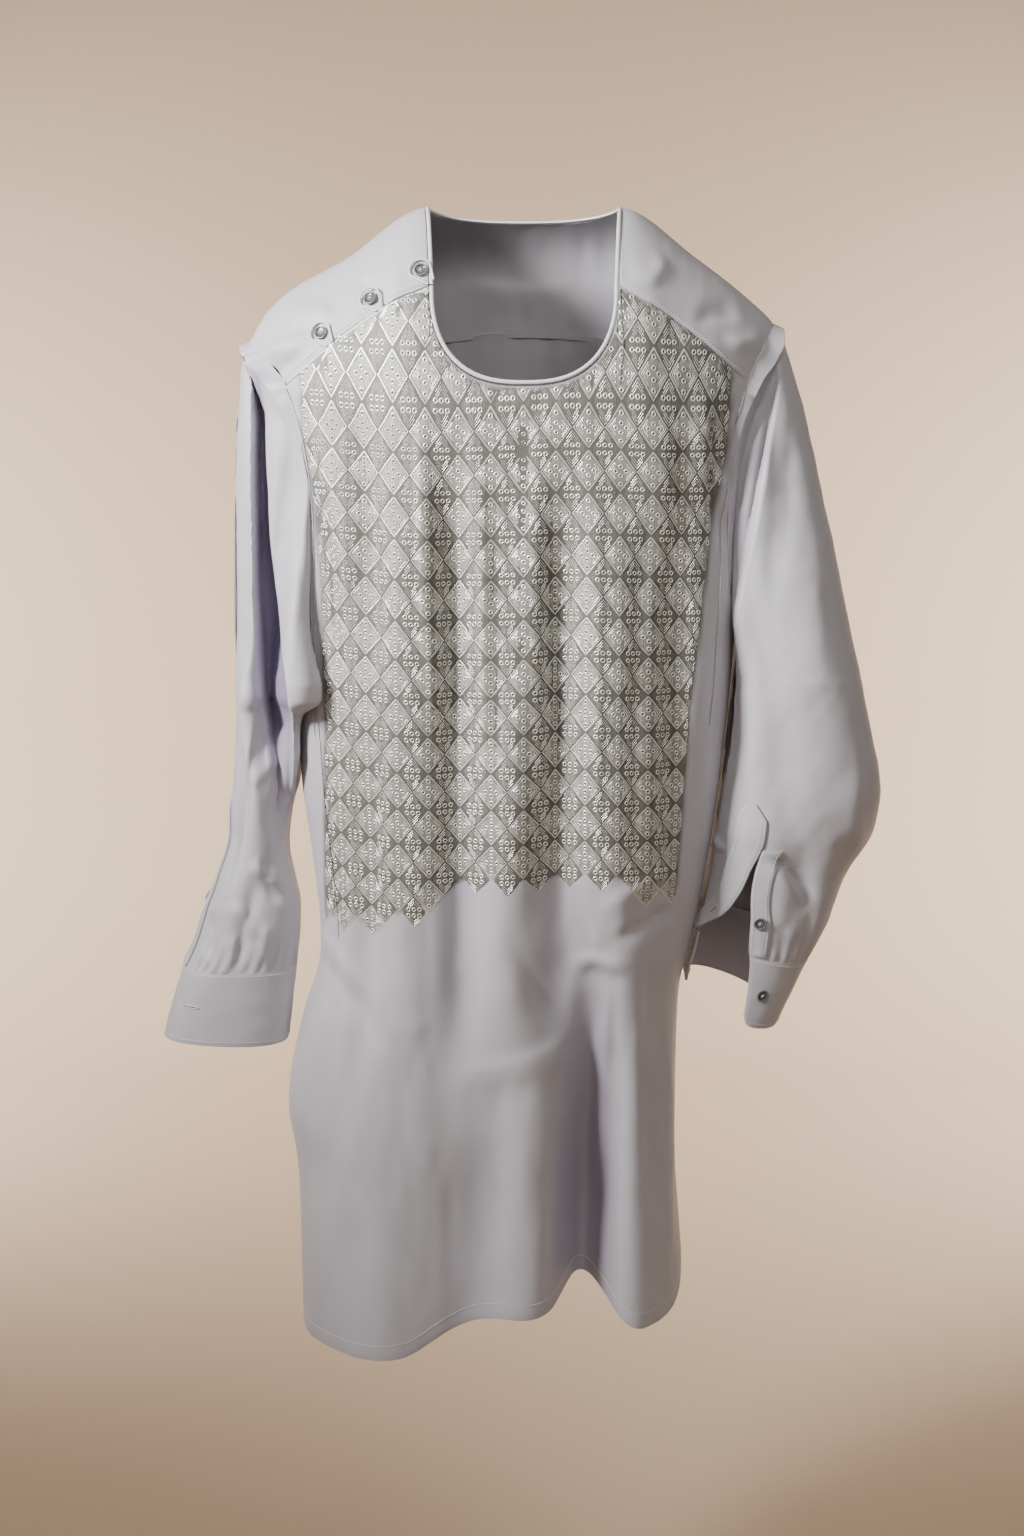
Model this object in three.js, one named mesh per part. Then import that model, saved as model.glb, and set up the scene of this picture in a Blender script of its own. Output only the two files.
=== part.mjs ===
import * as THREE from "three";

// Perahan: a long collarless tunic that hangs open and filled out, as on a wearer.
// Millimetres. X runs to the right as seen from the front, Y runs to the back, Z is up.
// The origin lies between the two neck points, where the wearer's shoulders hold the garment.

// Walls and gaps
const CLOTH = 1.6;
const CUFF_WALL = 2.4;
const BAND_WALL = 1.2;
const SEAM_GAP = 0.4;
const LAY_GAP = 0.2;
const BODY_CLEARANCE = 5;

// Body: squareness of its sections, and the rounding from the shoulder ridge to front and back
const SECTION_POWER = 2.6;
const FRONT_ARCH = { height: 180, length: 218 };
const BACK_ARCH = { height: 60, length: 115 };
const RIDGE_LEVEL = { centre: -10, half: 235 };
const UNDERARM = -345;
const SIDE_SLIT = { top: -850, run: 150, opening: 9 };
const SIDE_SEAM_FROM = 0.85;

// Neck opening and its bound edge
const NECK = {
  half: 75, centre: 0.5, cornerDrop: 124, frontDrop: 67, pointHalf: 81, backDrop: 42, power: 2.6,
};
const BINDING = { width: 3, thickness: 2.2, gap: 1 };
// Shares of the scoop's half turn where the ends of its binding and of the front panel stand
const SCOOP_ENDS = { binding: 0.012, panelLeft: 0.02, panelRight: 0.998 };
// Shares of the front seam between which the front's top edge is bound
const EDGE_RUN = { start: 0.012, end: 0.955 };

// Hem corners, buttons, loops, plackets
const HEM_CORNER = 46;
const HEM_REACH = 1000;
const BUTTON = {
  radius: 5.8, foot: 1, waist: 0.45, shoulder: 0.5, thickness: 2.4, rim: 1.3, slope: 0.7, dish: 0.8,
  sides: 12,
};
const LOOP = {
  cord: 0.9, reach: 9.2, tail: 17, mouth: [0.13, 1.87], down: 0.8, aside: 0.6, pinch: 0.25, lift: 1.9,
  steps: 16, sides: 4,
};
const PLACKET_TOP = { inset: 0.04, narrowing: [0.3, 0.95] };
const LAPPING_BAND = { width: 1.6, rise: 2, lift: { "-1": 0.9, 1: 1.6 } };
const UNDER_BAND = { width: 0.9, rise: 0, lift: { "-1": 0.9, 1: 0.9 } };

// Reads a short table: names the columns and returns smooth values between its rows
function table(columns, rows) {
  const names = columns.split(" ");
  const last = rows.length - 1;
  const direction = Math.sign(rows[last][0] - rows[0][0]);
  const secant = (row, column) =>
    (rows[row + 1][column] - rows[row][column]) / (rows[row + 1][0] - rows[row][0]);
  const slope = (row, column) => {
    const before = secant(Math.max(row - 1, 0), column);
    const after = secant(Math.min(row, last - 1), column);
    if (before * after <= 0) return 0;
    const mean = (before + after) / 2;
    return Math.sign(mean) * Math.min(Math.abs(mean), 3 * Math.abs(before), 3 * Math.abs(after));
  };
  return (key) => {
    let row = 0;
    while (row < last - 1 && (key - rows[row + 1][0]) * direction > 0) row += 1;
    const span = rows[row + 1][0] - rows[row][0];
    const share = Math.min(Math.max((key - rows[row][0]) / span, 0), 1);
    const rest = 1 - share;
    const values = {};
    names.forEach((name, column) => {
      values[name] = rows[row][column] * rest * rest * (1 + 2 * share)
        + rows[row + 1][column] * share * share * (1 + 2 * rest)
        + slope(row, column) * span * share * rest * rest
        - slope(row + 1, column) * span * share * share * rest;
    });
    return values;
  };
}

// Body sections by height: side outlines as seen from the front, depths to front and back
const bodyAt = table("z left right front back", [
  [0, -245, 225, 92, 82],
  [-112, -245, 225, 94, 86],
  [-146, -233, 213, 95, 88],
  [-200, -214, 199, 96, 90],
  [-260, -208, 192, 97, 92],
  [-345, -205, 188, 98, 92],
  [-427, -202, 183, 98, 92],
  [-504, -197, 175, 98, 90],
  [-560, -190, 168, 97, 88],
  [-640, -183, 154, 96, 86],
  [-675, -188, 145, 96, 86],
  [-708, -199, 142, 96, 86],
  [-800, -216, 141, 96, 88],
  [-852, -209, 142, 95, 90],
  [-952, -206, 149, 94, 90],
  [-1040, -205, 150, 94, 90],
]);

// Shoulder ridge from tip to tip
const ridgeAt = table("x z", [
  [-245, -124],
  [-236, -112],
  [-220, -87],
  [-150, -42],
  [-81, 0],
  [0, 1],
  [81, 0],
  [148, -42],
  [205, -86],
  [216, -97],
  [225, -110],
]);

// Level at which the yoke's seams meet the armholes
const YOKE_END = -146;

// Armhole edges from the ridge down to the underarm
const armholes = {
  "-1": {
    top: -112,
    edge: table("z front back", [
      [-112, -236, -236],
      [YOKE_END, -202, -216],
      [-194, -188, -203],
      [-245, -181, -197],
      [-300, -181, -195],
      [-330, -191, -199],
      [UNDERARM, -205, -205],
    ]),
  },
  1: {
    top: -97,
    edge: table("z front back", [
      [-97, 216, 216],
      [-120, 203, 209],
      [YOKE_END, 190, 200],
      [-175, 181, 191],
      [-221, 176, 184],
      [-300, 175, 182],
      [-330, 180, 184],
      [UNDERARM, 188, 188],
    ]),
  },
};

// Long folds of front and back: run of the crest line, height range, swell (+ out, - in), half-width
const FOLDS = table("row face topX bottomX topZ bottomZ swell width fade", [
  [0, -1, -60, -52, -170, -760, -12, 16, 160],
  [1, -1, -98, -112, -150, -760, 7, 24, 160],
  [2, -1, -8, -14, -300, -760, 9, 22, 200],
  [3, -1, 34, 30, -190, -740, -11, 19, 160],
  [4, -1, 84, 86, -220, -760, 9, 26, 180],
  [5, -1, 128, 128, -170, -560, -6, 16, 120],
  [6, -1, 66, 52, -560, -1120, -60, 25, 340],
  [7, -1, 96, 104, -600, -1120, 18, 26, 260],
  [8, -1, -20, -66, -700, -1120, -9, 26, 200],
  [9, -1, -150, -128, -640, -1120, 20, 48, 300],
  [10, -1, 6, 0, -660, -1120, 8, 26, 240],
  [11, 1, -90, -110, -250, -1120, 14, 34, 300],
  [12, 1, -30, -34, -300, -1120, -15, 26, 340],
  [13, 1, 26, 32, -220, -1120, 12, 32, 300],
  [14, 1, 84, 92, -340, -1120, -13, 24, 340],
  [15, 1, -140, -156, -460, -1120, -10, 22, 300],
]);
const FOLD_COUNT = 16;

const smoothStep = (low, high, value) => {
  const share = Math.min(Math.max((value - low) / (high - low), 0), 1);
  return share * share * (3 - 2 * share);
};
const mix = (from, to, share) => from + (to - from) * share;

// How far the folds of one face stand out at a place
function foldSwell(face, x, z) {
  let swell = 0;
  for (let row = 0; row < FOLD_COUNT; row += 1) {
    const fold = FOLDS(row);
    if (fold.face * face > 0) {
      const run = (fold.topZ - z) / (fold.topZ - fold.bottomZ);
      const line = mix(fold.topX, fold.bottomX, Math.min(Math.max(run, 0), 1));
      const fadeIn = smoothStep(0, fold.fade, fold.topZ - z);
      const fadeOut = smoothStep(0, Math.min(fold.fade, 100), z - fold.bottomZ);
      swell += fold.swell * fadeIn * fadeOut * Math.exp(-(((x - line) / fold.width) ** 2));
    }
  }
  return swell;
}

// A place on the body: u runs from the left side seam (-1) to the right one (1),
// s is the way from the shoulder ridge, down the front when negative and down the back when positive
function onBody(u, s) {
  const turn = Math.min(Math.abs(u), 1) * Math.PI / 2;
  const lateral = Math.sign(u) * Math.sin(turn) ** (2 / SECTION_POWER);
  const depthShare = Math.max(Math.cos(turn), 0) ** (2 / SECTION_POWER);
  const face = s < 0 ? -1 : 1;
  const arch = s < 0 ? FRONT_ARCH : BACK_ARCH;
  const ridge = ridgeAt(RIDGE_LEVEL.centre + RIDGE_LEVEL.half * lateral).z;
  const bend = Math.min(Math.abs(s) / arch.length, 1) * Math.PI / 2;
  const z = ridge - arch.height * (1 - Math.cos(bend)) - Math.max(Math.abs(s) - arch.length, 0);
  const row = bodyAt(z);
  const x = (row.left + row.right) / 2 + lateral * (row.right - row.left) / 2;
  const depth = s < 0 ? row.front : row.back;
  const slit = SIDE_SLIT.opening * smoothStep(0, SIDE_SLIT.run, SIDE_SLIT.top - z)
    + SEAM_GAP / 2 * smoothStep(SIDE_SEAM_FROM, 1, Math.abs(u));
  const y = face * (depth * depthShare * Math.sin(bend) + foldSwell(face, x, z) * depthShare + slit);
  return new THREE.Vector3(x, y, z);
}

// Outward direction of the body's surface
function bodyNormal(u, s) {
  const step = 1e-3;
  const across = onBody(Math.min(u + step, 1), s).sub(onBody(Math.max(u - step, -1), s));
  const along = onBody(u, s + 1).sub(onBody(u, s - 1));
  return across.cross(along).normalize();
}

// The body's coordinates of a place given by its front view and its face
function placeOf(face, x, z) {
  const row = bodyAt(z);
  const lateral = (x - (row.left + row.right) / 2) / ((row.right - row.left) / 2);
  const share = Math.min(Math.abs(lateral), 1);
  const u = Math.sign(lateral) * Math.asin(share ** (SECTION_POWER / 2)) * 2 / Math.PI;
  const ridge = ridgeAt(RIDGE_LEVEL.centre + RIDGE_LEVEL.half * Math.sign(lateral) * share).z;
  const arch = face < 0 ? FRONT_ARCH : BACK_ARCH;
  const fall = Math.max(ridge - z, 0);
  const along = fall < arch.height
    ? arch.length * Math.acos(1 - fall / arch.height) * 2 / Math.PI
    : arch.length + fall - arch.height;
  return { u, s: face * along };
}

const bodyVertex = ({ u, s, point }) => ({ point: point ?? onBody(u, s), normal: bodyNormal(u, s) });

// Turns a list of triangles and points into a geometry with its faces pointing out
function solidFrom(points, triangles) {
  let volume = 0;
  for (const [a, b, c] of triangles) {
    volume += points[a].dot(new THREE.Vector3().crossVectors(points[b], points[c]));
  }
  const ordered = volume > 0 ? triangles : triangles.map(([a, b, c]) => [a, c, b]);
  const geometry = new THREE.BufferGeometry();
  const flat = points.flatMap((point) => [point.x, point.y, point.z]);
  geometry.setAttribute("position", new THREE.Float32BufferAttribute(flat, 3));
  geometry.setIndex(ordered.flat());
  return geometry;
}

// Thickens a grid of outer points into a closed wall. A ring joins its last column to its first,
// down to the row where its slit begins.
function wall(grid, { thickness = CLOTH, outward = 1, joinedRows = 0 } = {}) {
  const columns = grid[0].length;
  const outer = [];
  const index = grid.map((row, j) => row.map((vertex, i) => {
    if (i === columns - 1 && j < joinedRows) return -1;
    outer.push(vertex);
    return outer.length - 1;
  }));
  index.forEach((row) => {
    if (row[columns - 1] < 0) row[columns - 1] = row[0];
  });
  const quads = [];
  for (let j = 0; j < grid.length - 1; j += 1) {
    for (let i = 0; i < columns - 1; i += 1) {
      quads.push([index[j][i], index[j][i + 1], index[j + 1][i + 1], index[j + 1][i]]);
    }
  }
  const sums = outer.map(() => new THREE.Vector3());
  for (const [a, b, c, d] of quads) {
    const first = outer[c].point.clone().sub(outer[a].point);
    const second = outer[d].point.clone().sub(outer[b].point);
    const normal = first.cross(second).normalize().multiplyScalar(outward);
    [a, b, c, d].forEach((corner) => sums[corner].add(normal));
  }
  const inner = outer.map(({ point, normal, hold = 1 }, k) => {
    const own = sums[k].normalize();
    const facing = normal ? own.lerp(normal, hold).normalize() : own;
    return point.clone().addScaledVector(facing, -thickness);
  });
  const count = outer.length;
  const triangles = [];
  const borders = new Map();
  for (const quad of quads) {
    const [a, b, c, d] = quad;
    triangles.push([a, b, c], [a, c, d]);
    triangles.push([a + count, c + count, b + count], [a + count, d + count, c + count]);
    quad.forEach((corner, k) => {
      const next = quad[(k + 1) % quad.length];
      if (!borders.delete(`${next} ${corner}`)) borders.set(`${corner} ${next}`, [corner, next]);
    });
  }
  for (const [from, to] of borders.values()) {
    triangles.push([to, from, from + count], [to, from + count, to + count]);
  }
  return solidFrom([...outer.map(({ point }) => point), ...inner], triangles);
}

// Sweeps a section along frames; each frame has a point and the two directions of the section
function sweep(frames, section, closed = false) {
  const sides = section.length;
  const points = frames.flatMap(({ point, across, out }) => section.map(([a, b]) =>
    point.clone().addScaledVector(across, a).addScaledVector(out, b)));
  const triangles = [];
  const steps = closed ? frames.length : frames.length - 1;
  for (let j = 0; j < steps; j += 1) {
    for (let i = 0; i < sides; i += 1) {
      const a = j * sides + i;
      const b = j * sides + (i + 1) % sides;
      const c = ((j + 1) % frames.length) * sides + (i + 1) % sides;
      const d = ((j + 1) % frames.length) * sides + i;
      triangles.push([a, b, c], [a, c, d]);
    }
  }
  if (!closed) {
    const end = (frames.length - 1) * sides;
    for (let i = 1; i < sides - 1; i += 1) {
      triangles.push([0, i + 1, i], [end, end + i, end + i + 1]);
    }
  }
  return solidFrom(points, triangles);
}

const share = (index, count) => index / count;
const range = (count) => Array.from({ length: count + 1 }, (_, k) => k);

// Neck opening as seen on the flat of the body: the front scoop, grown outwards by a margin
function neckFront(angle, margin) {
  const cosine = Math.cos(angle);
  const power = 2 / NECK.power;
  const x = NECK.centre - Math.sign(cosine) * (NECK.half + margin) * Math.abs(cosine) ** power;
  const s = -NECK.cornerDrop - (NECK.frontDrop + margin) * Math.sin(angle) ** power;
  return { x, s };
}

// Neck edge over one shoulder, from the front seam (0) to the neck point (1)
const neckSide = (side, way, margin) => ({
  x: NECK.centre + side * (mix(NECK.half, NECK.pointHalf, way) + margin),
  s: -NECK.cornerDrop * (1 - way),
});

// Back neck edge from neck point to neck point
function neckBack(angle, margin) {
  const cosine = Math.cos(angle);
  const power = 2 / NECK.power;
  return {
    x: NECK.centre - Math.sign(cosine) * (NECK.pointHalf + margin) * Math.abs(cosine) ** power,
    s: (NECK.backDrop + margin) * Math.sin(angle) ** power,
  };
}

// Turns a place given by x and s into the body's coordinates
function fromNeck({ x, s }) {
  let u = 0;
  for (let round = 0; round < 6; round += 1) u = placeOf(s < 0 ? -1 : 1, x, onBody(u, s).z).u;
  return { u, s };
}

// Front yoke seams, from the armhole to the neck corner
const frontSeams = {
  "-1": table("way x z", [[0, -202, YOKE_END], [0.3, -153, -108], [0.66, -107, -79], [1, -75, -67.5]]),
  1: table("way x z", [[0, 190, YOKE_END], [0.3, 148, -111], [0.66, 114, -87], [1, 76, -67.5]]),
};
// Back yoke seam: nearly level, lower towards the armholes
const BACK_SEAM = { middle: -104, fall: 0.0009 };
const backSeamHeight = (x) => BACK_SEAM.middle - BACK_SEAM.fall * x * x;

// Angles round an armhole, a full turn from the top of the sleeve's slit: 0 is on the ridge, 180 at
// the underarm. Yoke, front and back meet the sleeve at the same angles.
const RING = { yoke: 4, front: 9, back: 9 };
const slitColumn = { "-1": 0, 1: RING.yoke + 4 };

function armholeAngle(side, z) {
  const { top } = armholes[side];
  return Math.acos(1 - 2 * (z - top) / (UNDERARM - top));
}
const frontSeamAngle = (side) => armholeAngle(side, frontSeams[side](0).z);
const backSeamAngle = (side) => armholeAngle(side, backSeamHeight(armholes[side].edge(YOKE_END).back));

function ringAngles(side) {
  const front = frontSeamAngle(side);
  const back = 2 * Math.PI - backSeamAngle(side);
  const arc = (from, to, count) => range(count - 1).map((k) => mix(from, to, share(k, count)));
  const turn = [
    ...arc(0, front, RING.yoke),
    ...arc(front, Math.PI, RING.front),
    ...arc(Math.PI, back, RING.back),
    ...arc(back, 2 * Math.PI, RING.yoke),
  ];
  const first = slitColumn[side];
  const later = turn.slice(0, first + 1).map((angle) => angle + 2 * Math.PI);
  return [...turn.slice(first), ...later];
}

// A place on the armhole seam, on the body's surface
function armholeSeam(side, angle, face = Math.sin(angle) > 0 ? -1 : 1) {
  const { top, edge } = armholes[side];
  const z = mix(top, UNDERARM, (1 - Math.cos(angle)) / 2);
  return placeOf(face, face < 0 ? edge(z).front : edge(z).back, z);
}

// The same place, set back from the seam by the gap that the stitched edges keep
function armholeEdge(side, angle, face) {
  const place = armholeSeam(side, angle, face);
  const step = 0.02;
  const before = armholeSeam(side, angle - step);
  const after = armholeSeam(side, angle + step);
  const along = onBody(after.u, after.s).sub(onBody(before.u, before.s));
  const inward = along.cross(bodyNormal(place.u, place.s)).normalize().multiplyScalar(side);
  return { ...place, point: onBody(place.u, place.s).addScaledVector(inward, SEAM_GAP) };
}

// A panel between its top edge and its hem: a list of places for each
function panel(top, bottom, rows, options) {
  const grid = range(rows).map((j) => top.map((start, i) => bodyVertex({
    u: mix(start.u, bottom[i].u, share(j, rows)),
    s: mix(start.s, bottom[i].s, share(j, rows)),
    point: j === 0 ? start.point : undefined,
  })));
  return wall(grid, options);
}

// Hem of a face: height by share across, with rounded shirt-tail corners
const hemAt = table("x front back", [
  [-206, -1010, -988],
  [-110, -1006, -992],
  [-69, -986, -994],
  [-30, -973, -994],
  [25, -968, -994],
  [50, -952, -993],
  [76, -960, -992],
  [104, -984, -990],
  [150, -976, -986],
]);
function hemPlace(face, u) {
  const probe = onBody(u, face * HEM_REACH);
  const height = face < 0 ? hemAt(probe.x).front : hemAt(probe.x).back;
  const edge = onBody(u < 0 ? -1 : 1, face * HEM_REACH);
  const inset = Math.min(Math.hypot(edge.x - probe.x, edge.y - probe.y), HEM_CORNER);
  const lift = HEM_CORNER - Math.sqrt(HEM_CORNER ** 2 - (HEM_CORNER - inset) ** 2);
  return placeOf(face, probe.x, height + lift);
}

const NECK_STEPS = { side: 6, back: 12, front: 18 };
const SEAM_STEPS = 8;
const FRONT_ROWS = 16;
const BACK_ROWS = 14;
const BACK_STEPS = 18;

function frontPanel() {
  const margin = BINDING.width + BINDING.gap;
  const armhole = (side) => range(RING.front).map((k) =>
    armholeEdge(side, mix(Math.PI, frontSeamAngle(side), share(k, RING.front)), -1));
  const seam = (side, drop) => range(SEAM_STEPS).slice(1).map((k) => {
    const place = frontSeams[side](share(k, SEAM_STEPS));
    return placeOf(-1, place.x, place.z - drop);
  });
  const neck = range(NECK_STEPS.front).slice(1, -1).map((k) =>
    fromNeck(neckFront(share(k, NECK_STEPS.front) * Math.PI, margin)));
  const bound = BINDING.width + 2 * BINDING.gap;
  const left = [...armhole(-1), ...seam(-1, bound)];
  left[RING.front] = placeOf(-1, left[RING.front].point.x, left[RING.front].point.z - bound);
  left[left.length - 1] = fromNeck(neckFront(SCOOP_ENDS.panelLeft * Math.PI, margin));
  const right = [...armhole(1), ...seam(1, SEAM_GAP)];
  right[RING.front] = placeOf(-1, right[RING.front].point.x, right[RING.front].point.z - SEAM_GAP);
  right[right.length - 1] = fromNeck(neckFront(SCOOP_ENDS.panelRight * Math.PI, margin));
  const top = [...left, ...neck, ...right.reverse()];
  const bottom = top.map((_, i) => hemPlace(-1, mix(-1, 1, share(i, top.length - 1))));
  return panel(top, bottom, FRONT_ROWS);
}

function backPanel() {
  const armhole = (side) => range(RING.back).map((k) =>
    armholeEdge(side, mix(Math.PI, 2 * Math.PI - backSeamAngle(side), share(k, RING.back)), 1));
  const ends = [-1, 1].map((side) => armholes[side].edge(YOKE_END).back);
  const seam = range(BACK_STEPS).slice(1, -1).map((k) => {
    const x = mix(ends[0], ends[1], share(k, BACK_STEPS));
    return placeOf(1, x, backSeamHeight(x) - SEAM_GAP);
  });
  const top = [...armhole(-1), ...seam, ...armhole(1).reverse()];
  for (const corner of [RING.back, top.length - 1 - RING.back]) {
    top[corner] = placeOf(1, top[corner].point.x, top[corner].point.z - SEAM_GAP);
  }
  const bottom = top.map((_, i) => hemPlace(1, mix(-1, 1, share(i, top.length - 1))));
  return panel(top, bottom, BACK_ROWS);
}

// Where a column of the yoke meets the back seam: the shoulder's columns keep clear of the neck
const YOKE_COLUMNS = { seam: 52, side: 62 };
function yokeBackX(ends, column, last) {
  const sign = column * 2 > last ? 1 : 0;
  const near = Math.min(column, last - column);
  const inward = sign ? -1 : 1;
  const { seam, side } = YOKE_COLUMNS;
  if (near <= SEAM_STEPS) return ends[sign] + inward * seam * share(near, SEAM_STEPS);
  const past = near - SEAM_STEPS;
  if (past <= NECK_STEPS.side) {
    return ends[sign] + inward * (seam + side * share(past, NECK_STEPS.side));
  }
  const first = ends[0] + seam + side;
  const final = ends[1] - seam - side;
  return mix(first, final, share(column - SEAM_STEPS - NECK_STEPS.side, NECK_STEPS.back));
}

// The yoke: from the front seams and the neck edge, over the shoulders, to the back seam
function yoke() {
  const margin = BINDING.width + BINDING.gap;
  const seam = (side) => range(SEAM_STEPS).map((k) => {
    const place = frontSeams[side](share(k, SEAM_STEPS));
    const atNeck = k === SEAM_STEPS ? margin : 0;
    return placeOf(-1, place.x + side * atNeck, place.z);
  });
  const sides = (side) => range(NECK_STEPS.side).slice(1).map((k) =>
    fromNeck(neckSide(side, share(k, NECK_STEPS.side), margin)));
  const back = range(NECK_STEPS.back).slice(1, -1).map((k) =>
    fromNeck(neckBack(share(k, NECK_STEPS.back) * Math.PI, margin)));
  const front = [...seam(-1), ...sides(-1), ...back, ...sides(1).reverse(), ...seam(1).reverse()];
  const ends = [-1, 1].map((side) => armholes[side].edge(YOKE_END).back);
  const last = front.length - 1;
  const rows = 2 * RING.yoke;
  const armhole = (side) => range(rows).map((j) => {
    const reach = j < RING.yoke ? frontSeamAngle(side) : backSeamAngle(side);
    return armholeEdge(side, reach * (RING.yoke - j) / RING.yoke);
  });
  const leftEnd = armhole(-1);
  const rightEnd = armhole(1);
  const grid = range(rows).map((j) => front.map((start, i) => {
    if (i === 0) return bodyVertex(leftEnd[j]);
    if (i === last) return bodyVertex(rightEnd[j]);
    const x = yokeBackX(ends, i, last);
    const end = placeOf(1, x, backSeamHeight(x));
    const way = share(j, rows);
    return bodyVertex({ u: mix(start.u, end.u, way), s: mix(start.s, end.s, way) });
  }));
  return wall(grid);
}

// Sleeve rings by height: inner and outer outline as seen from the front, front and back depth,
// lean of the ring, its long valley, the rise of its plane to the right and to the back, and the
// degrees by which the two edges of its slit have turned away from where the slit is closed
const SLEEVE_COLUMNS =
  "z inner outer front back lean valleyX valleyDepth valleyWidth tilt pitch slitStart slitEnd";
const sleeves = {
  "-1": {
    fan: -400,
    apex: -556,
    cuff: { top: -668, bottom: -738 },
    heights: [-408, -416, -424, -434, -455, -485, -517, -538, -556, -578, -602, -632, -668],
    at: table(SLEEVE_COLUMNS, [
      [-400, -167, -255, -84, 62, 0.55, -226, 34, 13, 0, 0, 0, 0],
      [-416, -168, -256, -83, 62, 0.55, -226, 34, 13, 0, 0, 0, 0],
      [-430, -184, -256, -64, 60, 0.5, -226, 30, 13, 0, 0, 0, 0],
      [-472, -191, -258, -56, 56, 0.4, -224, 24, 12, 0, 0, 0, 0],
      [-517, -206, -262, -46, 52, 0.2, -220, 12, 10, 0, 0, 0, 0],
      [-556, -212, -265, -40, 46, 0, -220, 2, 10, 0, 0, 0, 0],
      [-584, -208, -275, -38, 44, 0, -236, 3, 9, 0, 0, 4, -8],
      [-613, -203, -287, -38, 42, 0, -245, 4, 8, 0, 0, 6, -14],
      [-643, -204, -297, -38, 42, 0, -252, 4, 8, 0, 0, 6, -20],
      [-668, -207, -309, -38, 40, 0, -256, 0, 8, 0, 0, 5, -24],
      [-738, -216, -330, -38, 38, 0, -256, 0, 8, -0.04, 0, 4, -26],
    ]),
  },
  1: {
    fan: -400,
    apex: -552,
    cuff: { top: -648, bottom: -712 },
    heights: [-425, -455, -485, -510, -530, -552, -572, -594, -612, -630, -648],
    at: table(SLEEVE_COLUMNS, [
      [-400, 172, 296, -74, 64, -0.2, 214, 6, 14, 0, 0, 0, 0],
      [-440, 171, 306, -72, 62, -0.2, 222, 5, 16, 0, 0, 0, 0],
      [-510, 168, 320, -64, 58, -0.1, 230, 4, 16, 0, 0, 0, 0],
      [-545, 166, 316, -58, 56, 0, 236, 3, 16, 0, 0, 0, 0],
      [-552, 165, 312, -56, 55, 0, 240, 3, 14, -0.02, 0, 0, 0],
      [-572, 163, 297, -53, 53, 0, 246, 6, 13, -0.07, 0.03, 2, -1],
      [-594, 160, 287, -51, 50, 0, 250, 6, 12, -0.12, 0.08, 5, -3],
      [-620, 155, 278, -49, 46, 0, 250, 4, 10, -0.2, 0.15, 14, -9],
      [-648, 144, 262, -47, 42, 0, 240, 0, 10, -0.3, 0.22, 31, -19],
      [-712, 142, 234, -45, 38, 0, 240, 0, 10, -0.36, 0.27, 38, -29],
    ]),
  },
};
const SLEEVE = {
  fanRows: 7, power: 2.3, crown: 10, crownRise: 0.6, valleyRise: 0.4, fanValleyWidth: 9, backLean: 0.3,
  hinge: -45,
};

// Moves a sleeve point off the body's side, so that the two never touch
function clearOfBody(side, point, clearance) {
  const row = bodyAt(point.z);
  const centre = (row.left + row.right) / 2;
  const half = (row.right - row.left) / 2 + clearance;
  const depth = (point.y < 0 ? row.front : row.back) + clearance;
  const rest = 1 - Math.min(Math.abs(point.y) / depth, 1) ** SECTION_POWER;
  const limit = centre + side * half * rest ** (1 / SECTION_POWER);
  if ((point.x - limit) * side < 0) point.x = limit;
  return point;
}

// A free ring of a sleeve: angle 0 is its outer side, 90 its front, 180 its inner side
function sleeveRing(side, z, angle, grow = 0) {
  const row = sleeves[side].at(z);
  const middle = (row.inner + row.outer) / 2;
  const power = 2 / SLEEVE.power;
  const cosine = Math.cos(angle);
  const sine = Math.sin(angle);
  const half = (row.outer - row.inner) / 2 + side * grow;
  const x = middle + half * Math.sign(cosine) * Math.abs(cosine) ** power;
  const deep = (row.back - row.front) / 2 + grow;
  let y = (row.front + row.back) / 2 - deep * Math.sign(sine) * Math.abs(sine) ** power;
  if (sine > 0) y += row.valleyDepth * Math.exp(-(((x - row.valleyX) / row.valleyWidth) ** 2));
  y += row.lean * (x - middle) * side * (sine > 0 ? 1 : SLEEVE.backLean);
  const rise = row.tilt * (x - middle) + row.pitch * (y - SLEEVE.hinge);
  const point = new THREE.Vector3(x, y, z + rise);
  return clearOfBody(side, point, BODY_CLEARANCE - grow);
}

// The angles of a free ring, drawn together where the slit stands open
function slitAngles(side, z) {
  const { slitStart, slitEnd } = sleeves[side].at(z);
  const angles = ringAngles(side);
  return angles.map((angle) => {
    const way = (angle - angles[0]) / (2 * Math.PI);
    const shut = angles[0] + way * 2 * Math.PI;
    return shut + THREE.MathUtils.degToRad(mix(slitStart, slitEnd, way));
  });
}

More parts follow.
